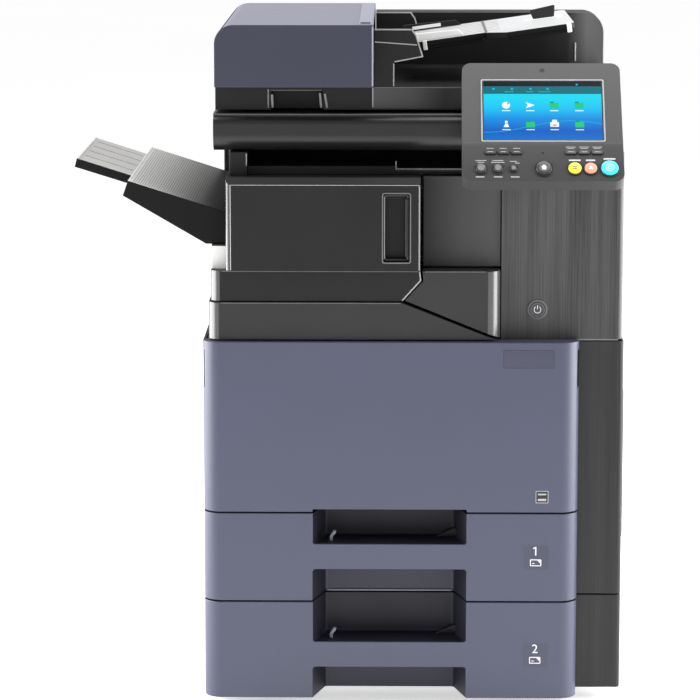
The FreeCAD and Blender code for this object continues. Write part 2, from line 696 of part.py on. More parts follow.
def make_scanner():
    front, rear = value("scanner_front_y"), value("scanner_rear_y")
    low, top = value("scanner_base"), value("scanner_top")
    profile = [(rear, low, 0), (rear, top, 0), (front + 8.0, top, 2), (front + 8.0, top - 4.0, 0),
               (front, top - 9.0, 9), (front, low, 22)]
    solid = padded("scanner_solid", "YZ_Plane", profile, "scanner_right - scanner_left")
    locate(solid, "scanner_left", "0", "0")
    room = block("scanner_room", ("scanner_left + 6", "scanner_right - 6"), ("-145", "scanner_rear_y - 5"),
                 ("scanner_base + 4", "scanner_top - 4"))
    window = block("scanner_window", ("-140", "260"), ("-110", "190"), ("scanner_top - 5", "scanner_top + 1"))
    posts = []
    for side, x in (("left", "-130"), ("right", "210")):
        posts.append(block("hinge_foot_" + side, (x, x + " + 34"), ("scanner_rear_y - 1", "rear_y"),
                           ("scanner_base + 8", "scanner_top - 2")))
        posts.append(block("hinge_post_" + side, (x, x + " + 34"), ("scanner_rear_y + 0.6", "rear_y - 0.5"),
                           ("scanner_top - 3", "lid_hinge_z")))
        posts.append(rod("hinge_barrel_" + side, "6.4", "34", (x, "lid_hinge_y", "lid_hinge_z"), (1, 0, 0)))
        posts.append(rod("hinge_pin_" + side, "3", "58", (x + " - 12", "lid_hinge_y", "lid_hinge_z"),
                         (1, 0, 0)))
    keep("scanner_housing",
         join("scanner_with_hinges", [carve("scanner_shell", solid, [room, window])] + posts))
    keep("platen_glass", block("glass", ("-139.6", "259.6"), ("-109.6", "189.6"),
                               ("scanner_top - 4", "scanner_top - 0.4")))
    bar = block("carriage_bar", ("-135", "-110"), ("-130", "205"), ("scanner_base + 14", "scanner_top - 9"))
    lamp = block("carriage_lamp", ("-127", "-118"), ("-105", "185"), ("scanner_top - 9", "scanner_top - 7"))
    keep("scan_carriage", join("carriage_group", [bar, lamp]))


def feeder_cheek(name, rear_face):
    """Side cheek of the paper entrance, sloping down to where the document tray starts."""
    cheek = padded(name, "XZ_Plane",
                   [(31.0, value("lid_top") - 1.0, 0), (57.0, value("lid_top") - 1.0, 0), (57.0, 853.0, 0),
                    (95.0, 860.0, 3), (86.0, 888.0, 6), (81.0, 897.0, 4), (31.0, 897.0, 0)], "6")
    locate(cheek, "0", rear_face, "0")
    return cheek


def document_tray_ears():
    """Two ears on the bridge, whose pins carry the document tray."""
    pieces = []
    for end, y, start in (("front", ("-62.5", "-57.5"), "-62"), ("rear", ("172.5", "177.5"), "162")):
        pieces.append(block("tray_ear_" + end, ("50", "70"), y, ("848", "869.5")))
        pieces.append(rod("tray_pin_" + end, "1.8", "15", ("document_pin_x", start, "document_pin_z"),
                          (0, 1, 0)))
    return pieces


def lid_hinge_arms():
    """Four arms behind the rear wall that turn on the scanner's hinge pins."""
    pieces = []
    for name, x in (("left_outer", "-142"), ("left_inner", "-95.4"), ("right_outer", "198"),
                    ("right_inner", "244.6")):
        reach = (x, x + " + 11.6")
        pieces.append(rod("lid_arm_barrel_" + name, "6.5", "11.6", (x, "lid_hinge_y", "lid_hinge_z"),
                          (1, 0, 0)))
        pieces.append(block("lid_arm_" + name, reach, ("scanner_rear_y - 3", "lid_hinge_y"),
                            ("lid_hinge_z", "lid_hinge_z + 6.5")))
    return pieces


def make_document_feeder():
    plate = block("lid_plate", ("lid_left - 1", "scanner_right"), ("lid_front_y", "scanner_rear_y"),
                  ("lid_base", "lid_top"))
    notch = block("lid_grip_notch", ("-105", "-36"), ("lid_front_y - 1", "lid_front_y + 20"),
                  ("lid_base - 1", "lid_top - 4"))
    rear_top = value("lid_wall_top")
    wall_left, wall_right, seat = 31.0, value("lid_wall_right"), value("lid_top") - 1.0
    wall = padded("lid_rear_wall", "XZ_Plane",
                  [(wall_left, seat, 0), (wall_right, seat, 0), (wall_right, rear_top, 30),
                   (wall_left, rear_top, 0)],
                  "45")
    locate(wall, "0", "scanner_rear_y", "0")
    bridge = block("lid_bridge", ("31", "57"), ("lid_front_y", "scanner_rear_y - 44"), ("lid_top - 1", "853"))
    front_cheek = feeder_cheek("lid_front_cheek", "lid_front_y + 6")
    rear_cheek = feeder_cheek("lid_rear_cheek", "scanner_rear_y - 66")
    path = block("lid_paper_path", ("lid_left + 10", "24"), ("lid_front_y + 6", "scanner_rear_y - 44"),
                 ("lid_top - 1", "840"))
    pieces = [carve("lid_notched", plate, [notch]), wall, bridge, front_cheek, rear_cheek, path]
    pieces += document_tray_ears() + lid_hinge_arms()
    bores = [rod("lid_bore_" + side, "3.06", "13", (x, "lid_hinge_y", "lid_hinge_z"), (1, 0, 0))
             for side, x in (("left_outer", "-143"), ("left_inner", "-95.4"), ("right_outer", "197"),
                             ("right_inner", "244.6"))]
    keep("df_base", carve("lid_bored", join("lid_moulding", pieces), bores))

    outer = block("lid_cover_outer", ("lid_left", "lid_cover_right"), ("lid_cover_front_y", "scanner_rear_y"),
                  ("lid_cover_base", "lid_cover_top"))
    rounded = fillet("lid_cover_rounded", outer, "25",
                     lambda edge: along(edge, "y") and near(edge, x="lid_left", z="lid_cover_top"))
    inner = block("lid_cover_inner", ("lid_left + 5", "lid_cover_right + 1"),
                  ("lid_cover_front_y + 4",
                   "scanner_rear_y - 4"), ("lid_cover_base - 1", "lid_cover_top - 5"))
    keep("df_cover", carve("lid_cover_shell", rounded, [inner]))


def tilted(item, x, y, z, lean):
    """Place an item at a point, leaning up to the right by lean degrees."""
    item.Placement = FreeCAD.Placement(
        FreeCAD.Vector(value(x), value(y), value(z)),
        FreeCAD.Rotation(FreeCAD.Vector(0, -1, 0), value(lean)),
    )
    return item


def make_document_tray():
    origin = ("62", "57.5", "862")
    leaf = padded("document_leaf", "XY_Plane",
                  [(0.0, -112.0, 4), (118.0, -112.0, 0), (146.0, -162.0, 0), (236.0, -162.0, 12),
                   (236.0, 112.0, 12), (0.0, 112.0, 4)], "7")
    tilted(leaf, *origin, "document_slope")
    bore = rod("document_bore", "1.86", "230", ("document_pin_x", "-57", "document_pin_z"), (0, 1, 0))
    keep("document_tray", carve("document_leaf_bored", leaf, [bore]))
    front = padded("document_front_guide", "XZ_Plane",
                   [(8.0, 7.4, 0), (90.0, 7.4, 0), (84.0, 15.0, 3), (8.0, 18.0, 3)], "4")
    keep("document_guide_front", tilted(front, "62", "57.5 - 96", "862", "document_slope"))
    rear = padded("document_rear_guide", "XZ_Plane",
                  [(8.0, 7.4, 0), (90.0, 7.4, 0), (84.0, 15.0, 3), (8.0, 18.0, 3)], "4")
    keep("document_guide_rear", tilted(rear, "62", "57.5 + 100", "862", "document_slope"))
    flag = padded("document_stop_flag", "XZ_Plane",
                  [(188.0, 7.4, 0), (217.0, 7.4, 0), (220.0, 23.0, 2), (184.0, 20.0, 2)], "5")
    keep("document_stopper", tilted(flag, "62", "57.5 + 10", "862", "document_slope"))


# ---------------------------------------------------------------- operation panel

def on_panel(item, across=0.0, up=0.0, out=0.0):
    """Place an item on the panel's face: across it, up its slope, and out of it."""
    turn = FreeCAD.Rotation(FreeCAD.Vector(1, 0, 0), value("panel_lean"))
    corner = FreeCAD.Vector(value("panel_x"), value("panel_y"), value("panel_z"))
    item.Placement = FreeCAD.Placement(corner + turn.multVec(FreeCAD.Vector(across, up, out)), turn)
    return item


def rounded_box(name, half_width, half_height, radius, length):
    """Padded rectangle with round corners about its own centre."""
    points = [(-half_width, -half_height, radius), (half_width, -half_height, radius),
              (half_width, half_height, radius), (-half_width, half_height, radius)]
    return padded(name, "XY_Plane", points, length)


ROUND_KEYS = (
    ("key_status", -79.5, 18.5, 7.0),
    ("key_program", -57.9, 18.5, 6.2),
    ("key_counter", -38.0, 18.5, 4.2),
    ("key_home", 0.9, 19.0, 10.2),
    ("key_reset", 40.4, 19.0, 8.4),
    ("key_stop", 60.7, 19.0, 8.0),
    ("key_start", 84.9, 19.5, 11.0),
)
SLIM_KEYS = (
    ("key_copy", -67.5),
    ("key_send", -50.6),
    ("key_box", -33.6),
    ("key_interrupt", 35.8),
    ("key_saver", 52.9),
    ("key_login", 69.8),
)
SLIM_ROW = 43.6
SLIM_HALF = (7.0, 2.7)
SCREEN_HALF = (78.5, 47.6)
SCREEN_CENTRE = (1.2, 109.2)


def make_panel():
    low, high, length, curve = (value(word) for word in
                                ("panel_half_low", "panel_half_high", "panel_length", "panel_round"))
    shell = padded("panel_shell", "XY_Plane",
                   [(-low, 0.0, curve), (low, 0.0, curve), (high, length, curve), (-high, length, curve)],
                   "panel_thick")
    on_panel(shell, out=-value("panel_thick"))
    play = value("key_play")
    pocket = value("key_pocket")
    tools = []
    for name, across, up, radius in ROUND_KEYS:
        tools.append(on_panel(disc_body(name + "_well", radius + play, "key_pocket + 1"), across, up,
                              -pocket))
        key = disc_body(name + "_cap", radius, "key_body + key_proud")
        keep(name, on_panel(key, across, up, -value("key_body")))
    for name, across in SLIM_KEYS:
        half_width, half_height = SLIM_HALF
        well = rounded_box(name + "_well", half_width + play, half_height + play, 2.4, "key_pocket + 1")
        tools.append(on_panel(well, across, SLIM_ROW, -pocket))
        key = rounded_box(name + "_cap", half_width, half_height, 2.0, "key_body + key_proud")
        keep(name, on_panel(key, across, SLIM_ROW, -value("key_body")))
    window = rounded_box("screen_well", SCREEN_HALF[0] + 0.3, SCREEN_HALF[1] + 0.3, 3.0, "6")
    tools.append(on_panel(window, *SCREEN_CENTRE, -4.0))
    screen = rounded_box("screen_plate", *SCREEN_HALF, 3.0, "3.6")
    keep("touch_screen", on_panel(screen, *SCREEN_CENTRE, -4.0))
    ears = []
    for side, x in (("left", "panel_x - 34"), ("right", "panel_x + 26")):
        ear = padded("panel_ear_" + side, "YZ_Plane",
                     [(36.0, -1.0 - value("panel_thick") + 2.0, 0), (36.0, -44.0, 7), (62.0, -44.0, 7),
                      (62.0, -1.0 - value("panel_thick") + 2.0, 0)], "8")
        on_panel(ear)
        bind(ear, "Placement.Base.x", x)
        ears.append(ear)
    pivot_y, pivot_z = "panel_y + 61", "panel_z + 13.8"
    tools.append(rod("panel_pivot_hole", "4.06", "80", ("panel_x - 40", pivot_y, pivot_z), (1, 0, 0)))
    keep("panel_housing", carve("panel_cut", join("panel_solid", [shell] + ears), tools))

    barrel = rod("arm_barrel", "9", "50", ("panel_x - 25", pivot_y, pivot_z), (1, 0, 0))
    pin = rod("arm_pin", "4", "68", ("panel_x - 34", pivot_y, pivot_z), (1, 0, 0))
    arm = block("arm_block", ("panel_x - 25", "panel_x + 25"), (pivot_y, "front_y + band_setback"),
                ("panel_z + 5", "scanner_base - 1"))
    keep("panel_arm", join("panel_arm_solid", [barrel, pin, arm]))


def make_power_key():
    key = rod("power_cap", "power_key_radius", "10", ("246.5", "front_y + band_setback - 1.5", "530"),
              (0, 1, 0))
    keep("power_key", key)


make_feet()
make_feeder_frame()
make_feeder_right_cover()
make_drawer_front(1, "seam_low + 0.8", "seam_mid - 0.8")
make_drawer_tray(1, "seam_low + 8")
make_drawer_front(2, "drawer_low", "seam_low - 0.8")
make_drawer_tray(2, "feet_height + 10")
make_main_frame()
make_left_cover()
make_rear_cover()
make_right_column_cover()
make_bypass_tray()
make_upper_right_panel()
make_inner_panels()
make_finisher()
make_stacker()
make_front_cover()
make_engine_units()
make_power_inlet()
make_scanner()
make_document_feeder()
make_document_tray()
make_panel()
make_power_key()

doc.recompute()

for item in doc.Objects:
    if "Invalid" in item.State or "Error" in item.State:
        raise RuntimeError("object %s failed: %s" % (item.Name, item.State))
os.makedirs("parts", exist_ok=True)
for node, item in nodes.items():
    shape = item.Shape
    if shape.isNull() or not shape.isValid() or not shape.Solids:
        raise RuntimeError("shape of %s is not a valid solid" % node)
    shape.exportStep("parts/%s.step" % node)
print("nodes written:", len(nodes))
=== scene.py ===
import json
import math

import bmesh
import bpy
from mathutils import Matrix, Vector


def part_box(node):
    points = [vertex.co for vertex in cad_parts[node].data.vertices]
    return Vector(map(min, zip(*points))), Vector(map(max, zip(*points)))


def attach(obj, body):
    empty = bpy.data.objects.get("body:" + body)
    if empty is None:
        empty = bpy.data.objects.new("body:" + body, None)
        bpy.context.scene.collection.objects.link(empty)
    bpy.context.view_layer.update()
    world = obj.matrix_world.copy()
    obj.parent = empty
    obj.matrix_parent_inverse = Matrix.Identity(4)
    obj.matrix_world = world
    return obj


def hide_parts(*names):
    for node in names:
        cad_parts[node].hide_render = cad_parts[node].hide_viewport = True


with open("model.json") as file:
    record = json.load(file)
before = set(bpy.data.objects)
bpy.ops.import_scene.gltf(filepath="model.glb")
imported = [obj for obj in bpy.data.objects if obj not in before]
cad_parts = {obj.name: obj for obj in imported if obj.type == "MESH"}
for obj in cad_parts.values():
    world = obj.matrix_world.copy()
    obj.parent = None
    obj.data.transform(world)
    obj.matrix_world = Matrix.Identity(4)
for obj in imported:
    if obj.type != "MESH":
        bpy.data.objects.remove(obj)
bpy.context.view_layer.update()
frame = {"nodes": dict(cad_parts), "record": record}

MM = 0.001
GRAIN_DEPTH = 0.06 * MM
EDGE_ANGLE = math.radians(28.0)
scene = bpy.context.scene

BODIES = frame["record"]["behaviour"]["bodies"]
BODY_OF = {node: body for body, nodes in BODIES.items() for node in nodes}
SLOT_OF = {row["node"]: row["material_slot"] for row in frame["record"]["subparts"]}
USUAL_SLOT = {body: SLOT_OF[nodes[0]] for body, nodes in BODIES.items()}
USUAL_SLOT["machine"] = "dark_plastic"


# ------------------------------------------------------------------ materials

def srgb(red, green, blue):
    """Linear colour from 0-255 display values."""
    def channel(level):
        level /= 255.0
        return level / 12.92 if level <= 0.04045 else ((level + 0.055) / 1.055) ** 2.4
    return (channel(red), channel(green), channel(blue), 1.0)


def grey(level):
    return srgb(level, level, level)


def shade(colour, factor):
    return tuple(min(1.0, part * factor) for part in colour[:3]) + (1.0,)


def start_material(name):
    material = bpy.data.materials.new(name)
    material.use_nodes = True
    tree = material.node_tree
    shader = tree.nodes["Principled BSDF"]
    place = tree.nodes.new("ShaderNodeTexCoord")
    return material, tree, shader, place


def scaled(tree, place, scale=(1.0, 1.0, 1.0)):
    mapping = tree.nodes.new("ShaderNodeMapping")
    mapping.inputs["Scale"].default_value = scale
    tree.links.new(place.outputs["Object"], mapping.inputs["Vector"])
    return mapping


def noise(tree, mapping, scale, detail=3.0, rough=0.55):
    node = tree.nodes.new("ShaderNodeTexNoise")
    node.inputs["Scale"].default_value = scale
    node.inputs["Detail"].default_value = detail
    node.inputs["Roughness"].default_value = rough
    tree.links.new(mapping.outputs["Vector"], node.inputs["Vector"])
    return node


def ramp(tree, source, low, high, start=0.3, end=0.7):
    node = tree.nodes.new("ShaderNodeValToRGB")
    node.color_ramp.elements[0].position = start
    node.color_ramp.elements[1].position = end
    node.color_ramp.elements[0].color = low
    node.color_ramp.elements[1].color = high
    tree.links.new(source, node.inputs["Fac"])
    return node


def spread(tree, source, low, high):
    node = tree.nodes.new("ShaderNodeMapRange")
    node.inputs["From Min"].default_value = 0.3
    node.inputs["From Max"].default_value = 0.7
    node.inputs["To Min"].default_value = low
    node.inputs["To Max"].default_value = high
    tree.links.new(source, node.inputs["Value"])
    return node


def tinted(tree, shader, source, colour, darker, lighter, socket="Base Color"):
    tint = ramp(tree, source, shade(colour, darker), shade(colour, lighter))
    tree.links.new(tint.outputs["Color"], shader.inputs[socket])


def glossed(tree, shader, source, low, high):
    gloss = spread(tree, source, low, high)
    tree.links.new(gloss.outputs["Result"], shader.inputs["Roughness"])


def bump(tree, shader, source, strength, distance):
    node = tree.nodes.new("ShaderNodeBump")
    node.inputs["Strength"].default_value = strength
    node.inputs["Distance"].default_value = distance
    tree.links.new(source, node.inputs["Height"])
    tree.links.new(node.outputs["Normal"], shader.inputs["Normal"])


def moulded(name, colour, rough=0.42, grain=900.0, strength=0.35, mottle=0.06, specular=0.5):
    """Moulded plastic: fine spark-eroded grain, slight cloudiness of colour and gloss."""
    material, tree, shader, place = start_material(name)
    mapping = scaled(tree, place)
    cloud = noise(tree, mapping, 9.0, 4.0)
    tinted(tree, shader, cloud.outputs["Fac"], colour, 1.0 - mottle, 1.0 + mottle)
    fine = noise(tree, mapping, grain, 2.0, 0.6)
    glossed(tree, shader, cloud.outputs["Fac"], rough - 0.03, rough + 0.04)
    bump(tree, shader, fine.outputs["Fac"], strength, GRAIN_DEPTH)
    shader.inputs["Specular IOR Level"].default_value = specular
    return material


def drift(tree, place, axis, low, high, stops):
    """Colour ramp along one of the object's own axes, between two places in metres."""
    split = tree.nodes.new("ShaderNodeSeparateXYZ")
    tree.links.new(place.outputs["Object"], split.inputs["Vector"])
    along = tree.nodes.new("ShaderNodeMapRange")
    along.inputs["From Min"].default_value = low
    along.inputs["From Max"].default_value = high
    tree.links.new(split.outputs[axis], along.inputs["Value"])
    colours = tree.nodes.new("ShaderNodeValToRGB")
    while len(colours.color_ramp.elements) < len(stops):
        colours.color_ramp.elements.new(0.5)
    for element, (position, colour) in zip(colours.color_ramp.elements, stops):
        element.position = position
        element.color = colour
    tree.links.new(along.outputs["Result"], colours.inputs["Fac"])
    return colours


def graded(name, axis, low, high, stops, rough=0.4, specular=0.25):
    """Moulded plastic with painted light and shade drifting along one of the object's own axes."""
    material, tree, shader, place = start_material(name)
    colours = drift(tree, place, axis, low, high, stops)
    tree.links.new(colours.outputs["Color"], shader.inputs["Base Color"])
    mapping = scaled(tree, place)
    fine = noise(tree, mapping, 1300.0, 2.0, 0.6)
    bump(tree, shader, fine.outputs["Fac"], 0.2, GRAIN_DEPTH)
    shader.inputs["Roughness"].default_value = rough
    shader.inputs["Specular IOR Level"].default_value = specular
    return material


def brushed(name, dark, light, rough=0.38, strength=0.5, specular=0.35):
    """Plastic with a fine vertical brushed pattern."""
    material, tree, shader, place = start_material(name)
    across = 520.0
    streaks = scaled(tree, place, (across, across, 5.0))
    broad = scaled(tree, place, (across * 0.18, across * 0.18, 1.4))
    hair = noise(tree, streaks, 1.0, 4.0, 0.7)
    band = noise(tree, broad, 1.0, 2.0, 0.5)
    mix = tree.nodes.new("ShaderNodeMix")
    mix.inputs["Factor"].default_value = 0.35
    tree.links.new(hair.outputs["Fac"], mix.inputs["A"])
    tree.links.new(band.outputs["Fac"], mix.inputs["B"])
    tint = ramp(tree, mix.outputs["Result"], dark, light, 0.32, 0.68)
    tree.links.new(tint.outputs["Color"], shader.inputs["Base Color"])
    glossed(tree, shader, hair.outputs["Fac"], rough - 0.08, rough + 0.1)
    bump(tree, shader, hair.outputs["Fac"], strength, 0.00008)
    shader.inputs["Specular IOR Level"].default_value = specular
    return material


def metal(name, colour, rough=0.35, scale=(40.0, 40.0, 400.0)):
    """Rolled sheet metal with a faint directional grain and spangle."""
    material, tree, shader, place = start_material(name)
    streaks = scaled(tree, place, scale)
    fine = noise(tree, streaks, 1.0, 3.0)
    tinted(tree, shader, fine.outputs["Fac"], colour, 0.85, 1.1)
    glossed(tree, shader, fine.outputs["Fac"], rough - 0.08, rough + 0.1)
    bump(tree, shader, fine.outputs["Fac"], 0.15, 0.00005)
    shader.inputs["Metallic"].default_value = 1.0
    return material


def glossy(name, colour, rough=0.18, coat=0.5):
    """Polished plastic with a clear skin."""
    material, tree, shader, place = start_material(name)
    mapping = scaled(tree, place)
    cloud = noise(tree, mapping, 60.0, 2.0)
    tinted(tree, shader, cloud.outputs["Fac"], colour, 0.95, 1.05)
    glossed(tree, shader, cloud.outputs["Fac"], rough - 0.02, rough + 0.04)
    shader.inputs["Coat Weight"].default_value = coat
    shader.inputs["Coat Roughness"].default_value = 0.08
    return material


def clear_glass(name):
    material, tree, shader, place = start_material(name)
    mapping = scaled(tree, place)
    cloud = noise(tree, mapping, 30.0, 2.0)
    glossed(tree, shader, cloud.outputs["Fac"], 0.02, 0.06)
    shader.inputs["Base Color"].default_value = srgb(225, 240, 236)
    shader.inputs["Transmission Weight"].default_value = 0.9
    shader.inputs["IOR"].default_value = 1.5
    return material


def lit(name, colour, strength):
    """Part of the lit screen picture."""
    material, tree, shader, place = start_material(name)
    mapping = scaled(tree, place)
    cloud = noise(tree, mapping, 220.0, 1.0)
    tinted(tree, shader, cloud.outputs["Fac"], colour, 0.96, 1.04, "Emission Color")
    shader.inputs["Base Color"].default_value = shade(colour, 0.1)
    shader.inputs["Emission Strength"].default_value = strength
    shader.inputs["Roughness"].default_value = 0.2
    shader.inputs["Specular IOR Level"].default_value = 0.1
    return material


def lit_gradient(name, stops, low, high, strength):
    """Screen background that changes colour up the panel's slope, by the object's own height."""
    material, tree, shader, place = start_material(name)
    colours = drift(tree, place, "Z", low, high, stops)
    tree.links.new(colours.outputs["Color"], shader.inputs["Emission Color"])
    shader.inputs["Base Color"].default_value = srgb(4, 20, 50)
    shader.inputs["Emission Strength"].default_value = strength
    shader.inputs["Roughness"].default_value = 0.2
    shader.inputs["Specular IOR Level"].default_value = 0.1
    return material


BLUE = moulded("blue_cover_plastic", srgb(65, 68, 88), rough=0.38, grain=1400.0, strength=0.2, mottle=0.03)
BLUE_DEEP = moulded("blue_feeder_plastic", srgb(45, 46, 62), rough=0.4, grain=1400.0, strength=0.2,
                    mottle=0.03)
# Lighter blue on the feeder cover's upward faces: painted light from above on the same plastic.
BLUE_PAINTED_TOP_LIGHT = moulded("blue_feeder_top_painted_light", srgb(118, 118, 134), rough=0.42, grain=1400.0, strength=0.2,
                   mottle=0.03)
# Painted shade inside the drawers' handle recesses: darkest deep inside, less dark on the walls that face the
# front.
RECESS_DEEP = moulded("recess_shadow_plastic", srgb(17, 17, 32), rough=0.55, grain=1100.0, strength=0.4)
RECESS_PAINTED_WALL_SHADE = moulded("recess_wall_painted_shade", srgb(44, 44, 60), rough=0.5, grain=1100.0, strength=0.4)
CHARCOAL = moulded("charcoal_plastic", grey(31), rough=0.38, grain=1500.0, strength=0.18, specular=0.2)
CHARCOAL_SHINE = moulded("charcoal_satin", grey(28), rough=0.3, grain=1500.0, strength=0.1, specular=0.42)
CHARCOAL_MID = moulded("charcoal_lighter", grey(46), rough=0.38, grain=1500.0, strength=0.18, specular=0.25)
# Painted reflection: the inner front panel lightens from left to right.
INNER_PAINTED_REFLECTION = graded("inner_panel_painted_reflection", "X", 0.095, 0.198,
                     [(0.0, grey(38)), (0.5, grey(66)), (1.0, grey(74))])
# Painted light and shade across the feeder's base plate: light, then dark, then lighter again to the right.
PLATE_PAINTED_SHADING = graded("feeder_plate_painted_shading", "X", 0.03, 0.18,
                     [(0.0, grey(72)), (0.35, grey(62)), (0.62, grey(26)), (1.0, grey(58))])
# Painted shading on the feeder's rear wall: dark at the left, lighter towards the right.
WALL_PAINTED_SHADING = graded("feeder_wall_painted_shading", "X", 0.26, 0.354,
                    [(0.0, grey(26)), (0.45, grey(36)), (0.75, grey(96)), (1.0, grey(84))])
# Lighter charcoal on rounded vertical corners: a painted highlight, with a glossier finish.
CORNER = moulded("charcoal_corner_painted_highlight", grey(60), rough=0.24, grain=1500.0, strength=0.05, specular=0.9)
# Painted highlights: light beads along rounded edges, in three strengths.
PAINTED_EDGE_HIGHLIGHT = moulded("light_edge_painted_highlight", srgb(150, 150, 148), rough=0.35, grain=1200.0, strength=0.15)
PAINTED_BRIGHT_EDGE = moulded("bright_edge_painted_highlight", srgb(182, 182, 180), rough=0.32, grain=1200.0, strength=0.12)
PAINTED_MID_EDGE = moulded("mid_grey_edge_painted_highlight", srgb(122, 122, 121), rough=0.35, grain=1200.0, strength=0.15)
# Grey for the power key's bezel, the panel's division line and the glass border, and also painted highlights
# along edges.
GREY_DIM = moulded("grey_trim_and_painted_edge_highlight", srgb(96, 96, 95), rough=0.4, grain=1200.0, strength=0.15)
CHARCOAL_SOFT = moulded("charcoal_textured", grey(46), rough=0.5, grain=800.0, strength=0.5)
BRUSHED = brushed("brushed_charcoal", grey(34), grey(82))
BAND = brushed("brushed_band", grey(36), grey(54), rough=0.45, strength=0.25, specular=0.25)
STRIP = moulded("strip_grey_plastic", grey(45), rough=0.36, grain=1300.0, strength=0.15, specular=0.25)
# Painted shading: the operation panel darkens towards its lower edge, stepping down where its lower section
# starts.
PANEL = graded("panel_grey_painted_shading", "Z", 0.71, 0.855,
               [(0.0, grey(54)), (0.3, grey(66)), (0.34, grey(78)), (1.0, grey(88))], rough=0.5, specular=0.3)
# Light grey; on the document tray's top it is painted glare on a tray that is dark.
LIGHT = moulded("light_grey_plastic_and_painted_glare", srgb(196, 197, 198), rough=0.4, grain=1000.0, strength=0.3)
# Light grey tray tops and ribs: painted glare on trays that are dark.
TRAY = moulded("tray_grey_painted_glare", srgb(186, 185, 183), rough=0.3, grain=1200.0, strength=0.2)
GROOVE = moulded("tray_groove_shadow", grey(30), rough=0.6, grain=1200.0, strength=0.2)
# Output tray's top and ribs: painted glare at the high end fading to painted shadow towards the finisher.
TRAY_GLARE_AND_SHADOW = graded("tray_top_painted_glare_and_shadow", "X", -0.292, -0.163,
                  [(0.0, srgb(214, 213, 211)), (0.3, srgb(188, 187, 185)), (0.62, srgb(120, 119, 117)),
                   (0.82, grey(60)), (1.0, grey(24))], rough=0.32)
RIB_GLARE_AND_SHADOW = graded("tray_rib_painted_glare_and_shadow", "X", -0.292, -0.163,
                 [(0.0, srgb(168, 167, 165)), (0.3, srgb(140, 139, 137)), (0.62, srgb(78, 78, 76)),
                  (0.82, grey(36)), (1.0, grey(16))], rough=0.4)
TRAY_SIDE = moulded("tray_side_plastic", grey(16), rough=0.5, grain=1200.0, strength=0.3, specular=0.15)
OFF_WHITE = moulded("off_white_plastic", srgb(238, 238, 236), rough=0.45, grain=900.0, strength=0.2)
STEEL = metal("zinc_plated_steel", srgb(176, 178, 180))
CAST = metal("cast_aluminium", srgb(150, 151, 154), rough=0.45, scale=(120.0, 120.0, 120.0))
BLACK = moulded("black_plastic", srgb(22, 22, 23), rough=0.4, grain=1200.0, strength=0.3)
RUBBER = moulded("black_rubber", grey(26), rough=0.75, grain=500.0, strength=0.6)
GLASS = clear_glass("platen_float_glass")
SILVER = glossy("silver_trim", srgb(168, 170, 174), rough=0.3, coat=0.1)
KEY_DARK = glossy("dark_key", srgb(48, 48, 50), rough=0.25, coat=0.4)
KEY_SOFT = glossy("soft_grey_key", srgb(78, 79, 81), rough=0.22, coat=0.6)
KEY_GREY = glossy("grey_key", srgb(120, 122, 124), rough=0.22, coat=0.6)
KEY_YELLOW = glossy("yellow_key", srgb(236, 222, 60), rough=0.25)
KEY_RED = glossy("salmon_key", srgb(238, 160, 130), rough=0.25)
KEY_CYAN = glossy("cyan_key", srgb(60, 218, 220), rough=0.25)
MARK = moulded("printed_mark", srgb(214, 216, 222), rough=0.5, grain=600.0, strength=0.1)
# Dim print, also used as a painted highlight on the finisher door's left edge.
DIM_PRINT_AND_EDGE_HIGHLIGHT = moulded("dim_print_and_painted_edge_highlight", srgb(168, 169, 172), rough=0.5, grain=600.0, strength=0.1)
FAINT_BLUE = moulded("label_square", srgb(58, 60, 78), rough=0.34, grain=700.0, strength=0.1)
FAINT_LINE = moulded("label_edge", srgb(46, 48, 62), rough=0.4, grain=700.0, strength=0.1)
# Light blue-grey for the recess tabs, and a painted highlight on the edge under the lower recess.
TAB_LIGHT = moulded("recess_tab_plastic", srgb(128, 130, 146), rough=0.3, grain=900.0, strength=0.15)
# Painted highlights on the trays' lips and the extension's ridges.
TRAY_EDGE_HIGHLIGHT = moulded("tray_lip_painted_highlight", srgb(222, 221, 219), rough=0.3, grain=1200.0, strength=0.1)
COVER_EDGE = moulded("feeder_cover_edge", srgb(140, 141, 156), rough=0.35, grain=1200.0, strength=0.1)
SCREEN_SHADES = lit_gradient("screen_picture",
                             [(0.0, srgb(0, 110, 205)), (0.2, srgb(0, 92, 190)), (0.5, srgb(0, 142, 224)),
                              (0.75, srgb(0, 196, 240)), (1.0, srgb(0, 216, 238))], 0.763, 0.812, 1.0)
SCREEN_BAR = lit("screen_dark_bar", srgb(6, 26, 34), 0.5)
SCREEN_BAND = lit("screen_teal_band", srgb(0, 108, 122), 0.9)
SCREEN_WAVE = lit("screen_wave", srgb(0, 186, 226), 0.8)
ICON_WHITE = lit("icon_white", srgb(240, 250, 255), 1.0)
ICON_GREEN = lit("icon_green", srgb(20, 200, 120), 0.9)
ICON_GREEN_DARK = lit("icon_green_dark", srgb(6, 150, 96), 0.8)
ICON_PINK = lit("icon_pink", srgb(232, 120, 170), 0.9)
LED_GREEN = lit("led_green", srgb(60, 110, 70), 0.25)

SLOT_MATERIAL = {
    "blue_plastic": BLUE, "dark_plastic": CHARCOAL, "brushed_dark": BRUSHED, "band_plastic": BAND,
    "strip_plastic": STRIP, "panel_plastic": PANEL, "light_plastic": LIGHT, "tray_plastic": TRAY,
    "steel": STEEL, "glass": GLASS, "rubber": RUBBER, "screen": BLACK, "key_grey": KEY_DARK,
    "key_dark": KEY_DARK, "key_yellow": KEY_YELLOW, "key_red": KEY_RED, "key_cyan": KEY_CYAN,
    "unit_black": BLACK, "drive_metal": CAST,
}


# ------------------------------------------------------------------ mesh helpers

def settle(piece, body):
    """Tie a piece to a body."""
    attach(piece, body)
    return piece


